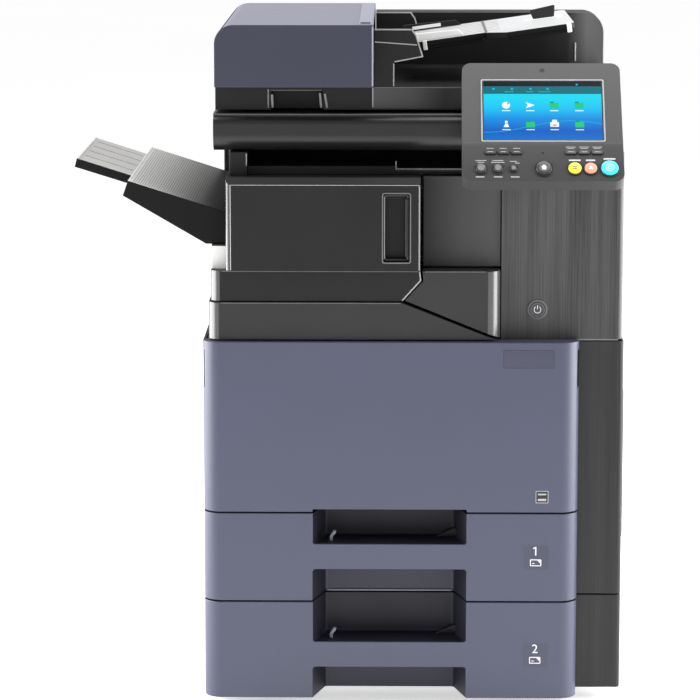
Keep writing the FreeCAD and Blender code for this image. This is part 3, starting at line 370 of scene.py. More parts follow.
def soften(piece, width, segments=3):
    """Rounded edges that catch the light."""
    if width > 0:
        bevel = piece.modifiers.new("edge", "BEVEL")
        bevel.width = width
        bevel.segments = segments
        bevel.limit_method = "ANGLE"
        bevel.angle_limit = EDGE_ANGLE
        bevel.harden_normals = True
        bevel.use_clamp_overlap = True
    for polygon in piece.data.polygons:
        polygon.use_smooth = True
    weighted = piece.modifiers.new("normals", "WEIGHTED_NORMAL")
    weighted.keep_sharp = True
    return piece


def object_from(name, bm, materials):
    mesh = bpy.data.meshes.new(name)
    bm.to_mesh(mesh)
    bm.free()
    piece = bpy.data.objects.new(name, mesh)
    scene.collection.objects.link(piece)
    for material in materials:
        mesh.materials.append(material)
    return piece


def refined(node, material, width, segments, patches):
    """Edge-rounded copy of a CAD node, which it stands for.

    Each patch is a second material and a test of a face's centre (in millimetres) and normal.
    """
    bm = bmesh.new()
    bm.from_mesh(frame["nodes"][node].data)
    bmesh.ops.remove_doubles(bm, verts=bm.verts, dist=0.000005)
    bmesh.ops.dissolve_limit(bm, angle_limit=math.radians(1.0), verts=bm.verts, edges=bm.edges)
    bm.normal_update()
    for face in bm.faces:
        face.material_index = 0
        centre = face.calc_center_median() / MM
        for index, (_, belongs) in enumerate(patches, start=1):
            if belongs(centre, face.normal):
                face.material_index = index
    piece = object_from(node + "_shell", bm, [material] + [patch[0] for patch in patches])
    soften(piece, width * MM, segments)
    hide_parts(node)
    return settle(piece, BODY_OF[node])


def add_box(bm, low, high):
    """Add an axis-aligned box to a bmesh, corners in millimetres."""
    made = bmesh.ops.create_cube(bm, size=1.0)
    low, high = Vector(low) * MM, Vector(high) * MM
    size, middle = high - low, (high + low) / 2
    for vertex in made["verts"]:
        vertex.co = Vector(part * length for part, length in zip(vertex.co, size)) + middle


def boxes(name, pairs, material, body, width=0.0, place=None, segments=2):
    """One piece made of separate boxes."""
    bm = bmesh.new()
    for low, high in pairs:
        add_box(bm, low, high)
    if place:
        bmesh.ops.transform(bm, matrix=place, verts=bm.verts)
    piece = object_from(name, bm, [material])
    soften(piece, width * MM, segments)
    return settle(piece, body)


def round_rect(half_width, half_height, radius, steps=6):
    """Points of a rectangle with round corners about the origin, in millimetres."""
    points = []
    for centre_x, centre_y, first in ((half_width, half_height, 0), (-half_width, half_height, 90),
                                      (-half_width, -half_height, 180), (half_width, -half_height, 270)):
        sign_x, sign_y = math.copysign(1, centre_x), math.copysign(1, centre_y)
        for step in range(steps + 1):
            turn = math.radians(first + 90 * step / steps)
            points.append((centre_x - sign_x * radius + radius * math.cos(turn),
                           centre_y - sign_y * radius + radius * math.sin(turn)))
    return points


def circle(radius, steps=48):
    return [(radius * math.cos(2 * math.pi * step / steps), radius * math.sin(2 * math.pi * step / steps))
            for step in range(steps)]


def add_prism(bm, points, low, high, shift=(0, 0)):
    """Add a closed outline, extruded between two heights, in millimetres."""
    rings = []
    for height in (low, high):
        rings.append([bm.verts.new(((x + shift[0]) * MM, (y + shift[1]) * MM, height * MM))
                      for x, y in points])
    count = len(points)
    bm.faces.new(list(reversed(rings[0])))
    bm.faces.new(rings[1])
    for index in range(count):
        after = (index + 1) % count
        bm.faces.new((rings[0][index], rings[0][after], rings[1][after], rings[1][index]))


def add_ring(bm, outer, inner, low, high):
    """Add a frame between two outlines with equal point counts."""
    loops = []
    for points, height in ((outer, low), (outer, high), (inner, high), (inner, low)):
        loops.append([bm.verts.new((x * MM, y * MM, height * MM)) for x, y in points])
    count = len(outer)
    for first, second in zip(loops, loops[1:] + loops[:1]):
        for index in range(count):
            after = (index + 1) % count
            bm.faces.new((first[index], first[after], second[after], second[index]))


def prism(name, outlines, low, high, place, material, body, width=0.0, segments=2):
    """Piece of one or more extruded outlines, each (points, (shift_x, shift_y))."""
    bm = bmesh.new()
    for points, shift in outlines:
        add_prism(bm, points, low, high, shift)
    bmesh.ops.transform(bm, matrix=place, verts=bm.verts)
    piece = object_from(name, bm, [material])
    soften(piece, width * MM, segments)
    return settle(piece, body)


def ring(name, outer, inner, low, high, place, material, body):
    bm = bmesh.new()
    add_ring(bm, outer, inner, low, high)
    bmesh.ops.transform(bm, matrix=place, verts=bm.verts)
    bmesh.ops.recalc_face_normals(bm, faces=bm.faces)
    piece = object_from(name, bm, [material])
    soften(piece, 0.0)
    return settle(piece, body)


def digit(name, text, size, place, material, body):
    """A drawer number as a thin raised mark."""
    curve = bpy.data.curves.new(name, "FONT")
    curve.body = text
    curve.size = size * MM
    curve.extrude = 0.1 * MM
    curve.align_x = "CENTER"
    curve.align_y = "CENTER"
    holder = bpy.data.objects.new(name + "_curve", curve)
    scene.collection.objects.link(holder)
    bpy.context.view_layer.update()
    mesh = bpy.data.meshes.new_from_object(holder.evaluated_get(bpy.context.evaluated_depsgraph_get()))
    bpy.data.objects.remove(holder)
    mesh.transform(place)
    mesh.materials.clear()
    mesh.materials.append(material)
    piece = bpy.data.objects.new(name, mesh)
    scene.collection.objects.link(piece)
    return settle(piece, body)


def facing_front(x, y, z):
    """Local XY plane turned to face the operator at a point given in millimetres."""
    return Matrix.Translation(Vector((x, y, z)) * MM) @ Matrix.Rotation(math.radians(90), 4, "X")


# ------------------------------------------------------------------ camera, floor, light

SENSOR_WIDTH = 36.0
LENS = 169.7143
CAMERA_DISTANCE = 4.32
CAMERA_PITCH = math.radians(9.5)
CAMERA_SIDE = 0.06
TARGET = Vector((0.0, -0.215, 0.482))


def make_camera():
    data = bpy.data.cameras.new("view")
    data.sensor_width = SENSOR_WIDTH
    data.lens = LENS
    camera = bpy.data.objects.new("view", data)
    scene.collection.objects.link(camera)
    back = Vector((0.0, -math.cos(CAMERA_PITCH), math.sin(CAMERA_PITCH)))
    camera.location = TARGET + back * CAMERA_DISTANCE + Vector((CAMERA_SIDE, 0, 0))
    camera.rotation_euler = (TARGET - camera.location).to_track_quat("-Z", "Y").to_euler()
    scene.camera = camera


def area_light(name, location, target, size, power):
    data = bpy.data.lights.new(name, "AREA")
    data.shape = "RECTANGLE"
    data.size, data.size_y = size
    data.energy = power
    lamp = bpy.data.objects.new(name, data)
    lamp.location = location
    lamp.rotation_euler = (Vector(target) - Vector(location)).to_track_quat("-Z", "Y").to_euler()
    scene.collection.objects.link(lamp)


def make_studio():
    bm = bmesh.new()
    bmesh.ops.create_grid(bm, x_segments=1, y_segments=1, size=40.0)
    material, tree, shader, place = start_material("pale_floor")
    mapping = scaled(tree, place)
    cloud = noise(tree, mapping, 0.7, 2.0)
    tint = ramp(tree, cloud.outputs["Fac"], grey(250), grey(252))
    tree.links.new(tint.outputs["Color"], shader.inputs["Base Color"])
    shader.inputs["Roughness"].default_value = 0.9
    shader.inputs["Emission Color"].default_value = (1.0, 1.0, 1.0, 1.0)
    shader.inputs["Emission Strength"].default_value = 0.5
    floor = object_from("studio_floor", bm, [material])
    world = bpy.data.worlds.new("studio")
    scene.world = world
    world.use_nodes = True
    world.node_tree.nodes["Background"].inputs["Color"].default_value = (1.0, 1.0, 1.0, 1.0)
    world.node_tree.nodes["Background"].inputs["Strength"].default_value = 0.5
    area_light("top_box", (0.2, 0.3, 3.2), (0, 0, 0.5), (2.4, 2.0), 50.0)
    area_light("left_wall", (-2.2, 0.15, 1.1), (0, 0.15, 1.1), (2.8, 2.2), 150.0)
    area_light("right_wall", (2.2, 0.15, 1.1), (0, 0.15, 1.1), (2.8, 2.2), 150.0)
    scene.view_settings.view_transform = "Standard"


make_camera()
make_studio()

# ------------------------------------------------------------------ covers carried over from the frame

# Material, width of the rounded edges in millimetres, and their segments.
REFINED = {
    "front_cover": (BLUE, 1.4, 3), "cassette_1_front": (BLUE, 1.3, 3), "cassette_2_front": (BLUE, 1.3, 3),
    "right_column_cover": (BAND, 1.0, 2), "feeder_right_cover": (BAND, 1.0, 2),
    "right_door": (BAND, 1.0, 2), "upper_right_panel": (BRUSHED, 1.2, 3),
    "inner_front_panel": (INNER_PAINTED_REFLECTION, 1.0, 2), "corner_panel": (CHARCOAL_MID, 1.2, 3),
    "strip_cover": (STRIP, 1.2, 3), "finisher_housing": (CHARCOAL, 1.0, 2),
    "finisher_door": (CHARCOAL, 1.2, 3), "scanner_housing": (CHARCOAL_SHINE, 1.0, 2),
    "df_base": (CHARCOAL, 1.0, 2), "df_cover": (BLUE_DEEP, 1.4, 3), "document_tray": (LIGHT, 1.5, 3),
    "document_guide_front": (OFF_WHITE, 0.8, 2), "document_guide_rear": (CHARCOAL, 0.8, 2),
    "document_stopper": (BLACK, 0.8, 2), "panel_housing": (PANEL, 1.5, 3),
    "output_tray": (TRAY_SIDE, 0.8, 2), "tray_extension": (TRAY, 0.8, 2), "feeder_frame": (STEEL, 0.5, 2),
    "left_cover": (CHARCOAL_SOFT, 0.6, 2), "rear_cover": (CHARCOAL_SOFT, 0.6, 2),
    "bypass_tray": (CHARCOAL_SOFT, 0.8, 2), "leveling_feet": (RUBBER, 1.0, 2),
    "power_inlet": (BLACK, 0.5, 2), "stapler_unit": (BLACK, 1.5, 2), "fuser_unit": (BLACK, 1.0, 2),
    "scan_carriage": (BLACK, 1.0, 2), "panel_arm": (CHARCOAL, 0.8, 2),
    "cassette_1_tray": (CHARCOAL_SOFT, 0.8, 2), "cassette_2_tray": (CHARCOAL_SOFT, 0.8, 2),
}


def reach(node):
    """Corners of a CAD node's box in millimetres."""
    low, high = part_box(node)
    return Vector(low) / MM, Vector(high) / MM


FRONT_FACE = reach("front_cover")[0].y
HANDLE_LEFT, HANDLE_RIGHT, HANDLE_BACK = -50.0, 155.0, FRONT_FACE + 58.5
BAR_LOW, BAR_HIGH = 42.5, 77.0


def recess_faces(node):
    """Tests for the shaded and the lighter inside faces of a drawer's two handle recesses."""
    base = reach(node)[0].z

    def inside(centre):
        return HANDLE_LEFT < centre.x < HANDLE_RIGHT and FRONT_FACE + 1.0 < centre.y < HANDLE_BACK

    def wall(centre, normal):
        return inside(centre) and centre.z < base + BAR_LOW and normal.y < -0.5

    def deep(centre, normal):
        return inside(centre) and not wall(centre, normal)

    return (RECESS_DEEP, deep), (RECESS_PAINTED_WALL_SHADE, wall)


def front_left(centre, normal):
    return normal.x < -0.12 and normal.y < -0.12 and abs(normal.z) < 0.2


def front_right(centre, normal):
    return normal.x > 0.12 and normal.y < -0.12 and abs(normal.z) < 0.2


def upward(centre, normal):
    return normal.z > 0.6


def sideways(centre, normal):
    return abs(normal.y) > 0.6 or normal.z < -0.2


def rear_wall(centre, normal):
    return centre.y > 200.0 and centre.x > 100.0 and normal.y < -0.5


PATCHES = {
    "cassette_1_front": recess_faces("cassette_1_front"),
    "cassette_2_front": recess_faces("cassette_2_front"),
    # The feeder cover's top faces get painted light.
    "df_cover": ((BLUE_PAINTED_TOP_LIGHT, upward),),
    # Rounded front corners turned to the side get a painted highlight, on the finisher housing too.
    "strip_cover": ((CORNER, front_left),),
    "corner_panel": ((CORNER, front_right),),
    "finisher_door": ((CORNER, front_left),),
    # The feeder's rear wall gets painted shading.
    "df_base": ((WALL_PAINTED_SHADING, rear_wall),),
    # The output tray's top gets painted glare and shadow.
    "output_tray": ((TRAY_GLARE_AND_SHADOW, lambda centre, normal: normal.z > 0.6 and centre.z > 660.0),),
    "feeder_frame": ((CHARCOAL_SOFT, lambda centre, normal: normal.x < -0.5 and centre.x < -193.0),),
    "document_tray": ((TRAY_SIDE, lambda centre, normal: normal.z < 0.5),),
    "tray_extension": ((TRAY_SIDE, sideways),),
    "finisher_housing": (
        (CORNER, front_left),
        (OFF_WHITE, lambda centre, normal: centre.x < -162.5 and 585.0 < centre.z < 614.0 and normal.z < 0.5),
    ),
}
for node, (material, width, segments) in REFINED.items():
    refined(node, material, width, segments, PATCHES.get(node, ()))
for node, mesh_object in frame["nodes"].items():
    if node not in REFINED:
        mesh_object.data.materials.clear()
        mesh_object.data.materials.append(SLOT_MATERIAL[SLOT_OF[node]])


# ------------------------------------------------------------------ operation panel

PANEL_CORNER = (247.75, -290.0, 713.2)
PANEL_LEAN = 50.0
SLIM_ROW = 43.6
KEY_TOP = 2.0
SCREEN_CENTRE = (1.2, 109.2)
SCREEN_HALF = (78.5, 47.6)
ROUND_KEYS = {
    "key_status": (-79.5, 18.5, 7.0), "key_program": (-57.9, 18.5, 6.2), "key_counter": (-38.0, 18.5, 4.2),
    "key_home": (0.9, 19.0, 10.2), "key_reset": (40.4, 19.0, 8.4), "key_stop": (60.7, 19.0, 8.0),
    "key_start": (84.9, 19.5, 11.0),
}
SLIM_KEYS = {"key_copy": -67.5, "key_send": -50.6, "key_box": -33.6,
             "key_interrupt": 35.8, "key_saver": 52.9, "key_login": 69.8}


def on_panel(across, up, out=0.0):
    """Local XY plane lying on the operation panel's face."""
    return (Matrix.Translation(Vector(PANEL_CORNER) * MM) @ Matrix.Rotation(math.radians(PANEL_LEAN), 4, "X")
            @ Matrix.Translation(Vector((across, up, out)) * MM))


def panel_marks(name, rows, material, radius=0.3):
    """Small printed bars on the panel, each (across, up, half width, half height)."""
    outlines = [(round_rect(wide, tall, min(radius, wide * 0.9, tall * 0.9), 2), (across, up))
                for across, up, wide, tall in rows]
    return prism(name, outlines, 0.0, 0.12, on_panel(0, 0, 0.02), material, "operation_panel", segments=1)


def make_screen():
    """Bright frame, black edge and the lit picture behind the pictograms."""
    across, up = SCREEN_CENTRE
    wide, tall = SCREEN_HALF
    level = -0.35
    ring("screen_trim", round_rect(wide + 1.3, tall + 1.1, 2.6), round_rect(wide - 0.6, tall - 0.6, 1.2),
         -0.6, 0.5, on_panel(across, up), SILVER, "operation_panel")
    ring("screen_black_edge", round_rect(wide - 0.5, tall - 0.5, 1.6),
         round_rect(wide - 2.4, tall - 2.4, 0.6), level, level + 0.5, on_panel(across, up), BLACK,
         "operation_panel")
    inner_wide, inner_tall = wide - 2.4, tall - 2.4
    bar, band = 7.0, 12.0
    low, high = up - inner_tall, up + inner_tall
    middle = (low + high - bar - band) / 2
    panels = (("screen_background", middle, (high - bar - band - low) / 2, SCREEN_SHADES),
              ("screen_menu_band", high - bar - band / 2, band / 2, SCREEN_BAND),
              ("screen_status_bar", high - bar / 2, bar / 2, SCREEN_BAR))
    for name, centre, half, material in panels:
        prism(name, [(round_rect(inner_wide, half, 0.2, 1), (0, 0))], level, level + 0.2,
              on_panel(across, centre), material, "operation_panel", segments=1)
    crest = [(inner_wide * part, 9.0 * math.sin(2.2 * part + 0.5))
             for part in [step / 12.0 for step in range(-12, 13)]]
    wave = [(x, y + 0.9) for x, y in crest] + crest[::-1]
    prism("screen_wave_line", [(wave, (0, 0))], level + 0.2, level + 0.27, on_panel(across, low + 20.0),
          SCREEN_WAVE, "operation_panel", segments=1)


def screen_shapes(name, outlines, material, level=0.0):
    return prism(name, outlines, -0.13 + level, -0.05 + level, on_panel(0, 0), material, "operation_panel",
                 segments=1)


def make_icons():
    """Pictograms: globe, arrow, folders, person and printer, each with a short bar as its caption."""
    columns = (-46.05, -14.95, 16.05, 48.35)
    upper, lower = 117.6, 88.0
    folders, tabs, captions, whites, dots = [], [], [], [], []
    for column, row in ((2, upper), (3, upper), (1, lower), (3, lower)):
        folders.append((round_rect(5.8, 4.4, 1.0, 3), (columns[column], row - 0.6)))
        tabs.append((round_rect(2.4, 1.2, 0.6, 2), (columns[column] - 3.0, row + 4.4)))
    for across in columns:
        for row in (upper, lower):
            captions.append((round_rect(5.4, 0.55, 0.3, 1), (across, row - 8.6)))
    whites.append((circle(5.2, 24), (columns[0], upper)))
    whites.append(([(-5.6, 4.6), (6.0, 0.0), (-5.6, -4.6), (-3.0, 0.0)], (columns[1], upper)))
    whites.append((circle(1.9, 16), (columns[0], lower + 3.4)))
    whites.append(([(-3.6, -4.6), (3.6, -4.6), (1.5, 0.8), (-1.5, 0.8)], (columns[0], lower)))
    whites.append((round_rect(5.6, 3.4, 0.8, 3), (columns[2], lower - 0.6)))
    whites.append((round_rect(3.2, 2.2, 0.3, 1), (columns[2], lower + 4.6)))
    dots.append((circle(1.5, 16), (columns[0] + 2.6, upper + 2.6)))
    dots.append((round_rect(3.0, 1.1, 0.3, 1), (columns[2], lower - 1.6)))
    screen_shapes("icon_folders", folders, ICON_GREEN)
    screen_shapes("icon_folder_tabs", tabs, ICON_GREEN_DARK)
    screen_shapes("icon_white_shapes", whites, ICON_WHITE)
    screen_shapes("icon_dots", dots, ICON_PINK, 0.08)
    screen_shapes("icon_captions", captions, ICON_WHITE)
    menu = [(round_rect(1.6, 1.4, 0.4, 2), (across, SCREEN_CENTRE[1] + 34.0))
            for across in (-62, -38, -14, 8)]
    menu.append((round_rect(1.3, 1.3, 0.4, 2), (46.0, SCREEN_CENTRE[1] + 41.0)))
    menu += [(round_rect(wide, 0.5, 0.3, 1), (across, SCREEN_CENTRE[1] + 29.5))
             for across, wide in ((-42, 6.0), (-15, 5.0), (4, 8.0))]
    screen_shapes("screen_menu_marks", menu, SCREEN_WAVE)


def make_round_keys():
    """A dark rim and a domed cap on each round key, and a lighter raised button on the keys that are not
    coloured.
    """
    for name, (across, up, radius) in ROUND_KEYS.items():
        coloured = {"key_reset": KEY_YELLOW, "key_stop": KEY_RED, "key_start": KEY_CYAN}.get(name)
        cap = coloured or KEY_DARK
        ring(name + "_well_rim", circle(radius + 1.9), circle(radius + 0.45), -0.4, 1.3, on_panel(across, up),
             BLACK, "operation_panel")
        dome = bmesh.new()
        steps = 40
        rings = []
        for inset, height in ((0.0, 0.0), (0.0, 0.3), (0.5, 0.7), (1.4, 0.95), (radius * 0.55, 1.1)):
            rings.append([dome.verts.new((x * MM, y * MM, height * MM))
                          for x, y in circle(radius - inset, steps)])
        for first, second in zip(rings, rings[1:]):
            for index in range(steps):
                after = (index + 1) % steps
                dome.faces.new((first[index], first[after], second[after], second[index]))
        dome.faces.new(rings[-1])
        dome.faces.new(list(reversed(rings[0])))
        bmesh.ops.transform(dome, matrix=on_panel(across, up, KEY_TOP - 0.05), verts=dome.verts)
        soften(settle(object_from(name + "_dome", dome, [cap]), BODY_OF[name]), 0.0)
        if not coloured:
            shine = KEY_GREY if name != "key_home" else KEY_SOFT
            prism(name + "_button", [(circle(radius * 0.62, 32), (0, 0))], 0.0, 0.5,
                  on_panel(across, up, KEY_TOP + 0.8), shine, BODY_OF[name], 0.3)


def make_key_marks():
    """Pictograms on the round keys, made of bars, rings and triangles."""
    top = KEY_TOP + 0.9

    def mark(name, key, outlines, material):
        across, up, _ = ROUND_KEYS[key]
        lift = 0.4 if key == "key_home" else 0.0
        prism(name, outlines, 0.0, 0.25, on_panel(across, up, top + lift), material, BODY_OF[key], segments=1)
    mark("home_roof_mark", "key_home",
         [([(-4.2, 0.0), (4.2, 0.0), (0.0, 4.0)], (0, 0.4)), (round_rect(2.8, 1.8, 0.3, 1), (0, -1.6))], MARK)
    mark("reset_mark", "key_reset",
         [(round_rect(2.6, 0.5, 0.3, 1), (0, 1.2)), (round_rect(2.6, 0.5, 0.3, 1), (0, -1.2))], KEY_DARK)
    mark("stop_mark", "key_stop", [([(0, 3.2), (3.0, -2.2), (-3.0, -2.2)], (0, 0))], MARK)
    across, up, _ = ROUND_KEYS["key_start"]
    ring("start_ring_mark", circle(5.6), circle(4.7), -0.1, 0.25, on_panel(across, up, top), MARK,
         "key_start")
    ring("start_inner_mark", round_rect(2.3, 2.3, 0.5, 2), round_rect(1.5, 1.5, 0.3, 2), -0.1, 0.25,
         on_panel(across, up, top), MARK, "key_start")


def make_slim_keys():
    """Rim, raised cap and light line of each slim key."""
    for name, across in SLIM_KEYS.items():
        ring(name + "_rim", round_rect(8.3, 4.0, 3.2), round_rect(7.3, 3.0, 2.4), -0.3, 0.4,
             on_panel(across, SLIM_ROW), BLACK, "operation_panel")
        prism(name + "_top", [(round_rect(6.4, 2.1, 1.6), (0, 0))], 0.0, 0.35,
              on_panel(across, SLIM_ROW, KEY_TOP - 0.05), KEY_DARK, BODY_OF[name], 0.25)
        prism(name + "_light_line", [(round_rect(3.6, 0.45, 0.3, 2), (0, 0))], 0.0, 0.15,
              on_panel(across, SLIM_ROW, KEY_TOP + 0.28), DIM_PRINT_AND_EDGE_HIGHLIGHT, BODY_OF[name], segments=1)


def make_panel_print():
    """Legends as plain short bars, the ready lamp, the light sensor and the lower edge windows."""
    captions = [(across, SLIM_ROW + 6.6, 4.6, 0.55) for across in SLIM_KEYS.values()]
    captions += [(across, SLIM_ROW + 8.8, 6.4, 0.55) for across in (35.8, 52.9, 69.8)]
    for across, up, half in ((-79.5, 31.4, 7.0), (-79.5, 28.6, 4.4), (-57.9, 31.4, 7.0), (-57.9, 28.6, 8.6),
                             (-38.0, 30.2, 4.6), (-33.0, 27.6, 3.0)):
        captions.append((across, up, half, 0.6))
    panel_marks("panel_captions", captions, DIM_PRINT_AND_EDGE_HIGHLIGHT)
    bold = [(40.4, 32.0, 7.6, 1.15), (60.7, 32.0, 6.0, 1.15), (84.9, 34.2, 7.6, 1.15)]
    panel_marks("panel_bold_captions", bold, MARK, radius=0.6)
    windows = [(across, 6.4, 5.6, 0.9) for across in (-80.75, -57.75, -36.05)]
    panel_marks("panel_lamp_windows", windows, DIM_PRINT_AND_EDGE_HIGHLIGHT, radius=0.5)
    prism("panel_ready_lamp", [(circle(1.3, 20), (0, 0))], 0.0, 0.5, on_panel(0.1, 43.3), LED_GREEN,
          "operation_panel", 0.1)
    ring("panel_sensor_rim", circle(3.1, 32), circle(2.0, 32), 0.0, 0.5, on_panel(1.7, 173.0), KEY_DARK,
         "operation_panel")
    prism("panel_sensor_lens", [(circle(2.0, 24), (0, 0))], -0.1, 0.2, on_panel(1.7, 173.0), BLACK,
          "operation_panel")
    prism("panel_division_line", [(round_rect(102.6, 0.35, 0.2, 1), (0, 0))], 0.0, 0.15,
          on_panel(0.0, 58.6, 0.0), GREY_DIM, "operation_panel", segments=1)


# ------------------------------------------------------------------ marks and lines on the covers

def band_outline(points, width):
    """Closed outline of a narrow band along an open line, its left side first."""
    left, right = [], []
    for index, point in enumerate(points):
        before = Vector(points[max(index - 1, 0)])
        after = Vector(points[min(index + 1, len(points) - 1)])
        here = Vector(point)
        steps = [step.normalized() for step in (here - before, after - here) if step.length > 0]
        middle = sum(steps, Vector((0.0, 0.0))).normalized()
        across = Vector((-middle.y, middle.x)) * (width / 2 / max(0.5, middle.dot(steps[0])))
        left.append(tuple(here + across))
        right.append(tuple(here - across))
    return right + left[::-1]


def edge_line(name, points, width, y, thick, material, body, soft):
    """Raised bead on a face that looks at the operator, along (x, z) points."""
    return prism(name, [(band_outline(points, width), (0, 0))], -0.3, thick, facing_front(0, y, 0), material,
                 body, soft)


def arc_points(radius, first, last, steps=16):
    turns = [math.radians(first + (last - first) * step / steps) for step in range(steps + 1)]
    return [(radius * math.cos(turn), radius * math.sin(turn)) for turn in turns]


LABEL_X = 245.5
NUMBER_RISE, SHEET_RISE = 67.5, 52.5


def make_drawer_marks():
    """Number, a small sheet pictogram and its faint square on each drawer front."""
    for number, base in ((1, reach("cassette_1_front")[0].z), (2, reach("cassette_2_front")[0].z)):
        body = "cassette_%d" % number
        digit("drawer_number_%d" % number, str(number), 17.0,
              facing_front(LABEL_X, FRONT_FACE - 0.1, base + NUMBER_RISE), MARK, body)
        if number == 1:
            flag = [(-0.82, 6.49), (-3.4, 5.0), (-3.4, 3.5), (-0.82, 4.7)]
            prism("drawer_number_1_flag", [(flag, (0, 0))], -0.1, 0.1,
                  facing_front(LABEL_X, FRONT_FACE - 0.1, base + NUMBER_RISE), MARK, body, segments=1)
        spot = facing_front(LABEL_X, FRONT_FACE, base + SHEET_RISE)
        prism("drawer_label_%d" % number, [(round_rect(16.5, 16.0, 2.0, 3), (0.5, 7.0))], -0.3, 0.15, spot,
              FAINT_BLUE, body, segments=1)
        ring("drawer_sheet_%d" % number, round_rect(7.5, 4.6, 1.0, 2), round_rect(6.3, 3.4, 0.5, 2), 0.1,
             0.35, spot, MARK, body)
        prism("drawer_sheet_corner_%d" % number,
              [([(1.5, 3.6), (6.6, 3.6), (6.6, -1.6)], (0, 0)), (round_rect(1.6, 0.5, 0.2, 1), (-3.0, -1.0))],
              0.1, 0.35, spot, MARK, body, segments=1)


def make_cover_marks():
    """Blank name plate and a plain dark label on the front cover."""
    right_plate = facing_front(234.5, FRONT_FACE, 470.0)
    prism("blank_name_plate", [(round_rect(33.0, 11.5, 1.5, 3), (0, 0))], -0.3, 0.12, right_plate, FAINT_BLUE,
          "front_cover", segments=1)
    ring("blank_name_plate_edge", round_rect(33.6, 12.1, 1.9, 3), round_rect(33.0, 11.5, 1.5, 3), -0.1, 0.25,
         right_plate, FAINT_LINE, "front_cover")
    label = facing_front(253.1, FRONT_FACE, 286.0)
    prism("square_label", [(round_rect(8.4, 8.2, 1.2, 3), (0, 0))], -0.3, 0.15, label, BLACK, "front_cover",
          segments=1)
    ring("square_label_border", round_rect(8.4, 8.2, 1.2, 3), round_rect(7.6, 7.4, 0.9, 3), 0.1, 0.25, label,
         DIM_PRINT_AND_EDGE_HIGHLIGHT, "front_cover")
    prism("square_label_bars",
          [(round_rect(5.6, 1.0, 0.4, 1), (0, 3.6)), (round_rect(5.6, 1.4, 0.4, 1), (0, -3.8))], 0.1, 0.25,
          label, DIM_PRINT_AND_EDGE_HIGHLIGHT, "front_cover", segments=1)


def make_recess_parts():
    """Stop tab and wedge in each upper recess, and a painted highlight along the edge under the lower recess.
    """
    for number in (1, 2):
        base = reach("cassette_%d_front" % number)[0].z
        body = "cassette_%d" % number
        floor = base + BAR_HIGH
        edge_line("recess_tab_%d" % number,
                  [(-25.5, floor - 1.0), (-25.5, floor + 4.5), (-23.5, floor + 8.0), (-21.0, floor + 11.0),
                   (-21.0, floor + 13.0)], 4.2, FRONT_FACE + 30.0, 8.0, TAB_LIGHT, body, 1.2)
        wedge = [(112.0, floor - 0.5), (150.0, floor - 0.5), (146.0, floor + 11.0), (138.0, floor + 12.0)]
        prism("recess_wedge_%d" % number, [(wedge, (0, 0))], 0.0, 8.0, facing_front(0, FRONT_FACE + 54.0, 0),
              BLACK, body, 1.5)
    base = reach("cassette_1_front")[0].z
    boxes("recess_edge_painted_highlight",
          [((-32.0, FRONT_FACE + 55.6, base + 0.4), (136.0, FRONT_FACE + 57.9, base + 2.4))], TAB_LIGHT,
          "cassette_1", 0.6)


def make_power_key():
    """Bezel, a lip round the cap and the on-off sign."""
    low, high = reach("power_key")
    x, z, front = (low.x + high.x) / 2, (low.z + high.z) / 2, low.y
    place = facing_front(x, front, z)
    panel_front = reach("upper_right_panel")[0].y
    ring("power_key_bezel", circle(13.0), circle(10.6), -0.3, 1.2, facing_front(x, panel_front, z), GREY_DIM,
         "machine")
    ring("power_key_bezel_line", circle(10.6), circle(10.2), -0.3, 0.9, facing_front(x, panel_front, z),
         BLACK, "machine")
    ring("power_key_lip", circle(9.6), circle(8.2), -0.2, 0.5, place, KEY_SOFT, "power_key")
    sign = arc_points(4.9, 125, 415) + arc_points(4.0, 415, 125)
    prism("power_key_sign", [(sign, (0, 0)), (round_rect(0.5, 2.6, 0.3, 1), (0, 3.4))], -0.1, 0.25, place,
          MARK, "power_key", segments=1)


# ------------------------------------------------------------------ finisher and output tray

TRAY_HIGH = Vector((-292.0, 0.0, 700.0))
TRAY_FALL = math.atan2(41.0, 129.0)
TRAY_RUN = 135.0
TRAY_FRONT, TRAY_REAR = -175.0, 248.0
LEAF_DROP = 4.6
DOOR_FACE = -210.0
SKIRT_FACE = -202.0
STRIP_FACE = -205.0
CORNER_FACE = -203.0
SKIRT_TOP = 583.8


def on_tray(drop=0.0):
    """Local XY plane on the sloping tray: X runs down its slope, Y to the rear."""
    return (Matrix.Translation(TRAY_HIGH * MM - Vector((0, 0, drop)) * MM)
            @ Matrix.Rotation(TRAY_FALL, 4, "Y"))


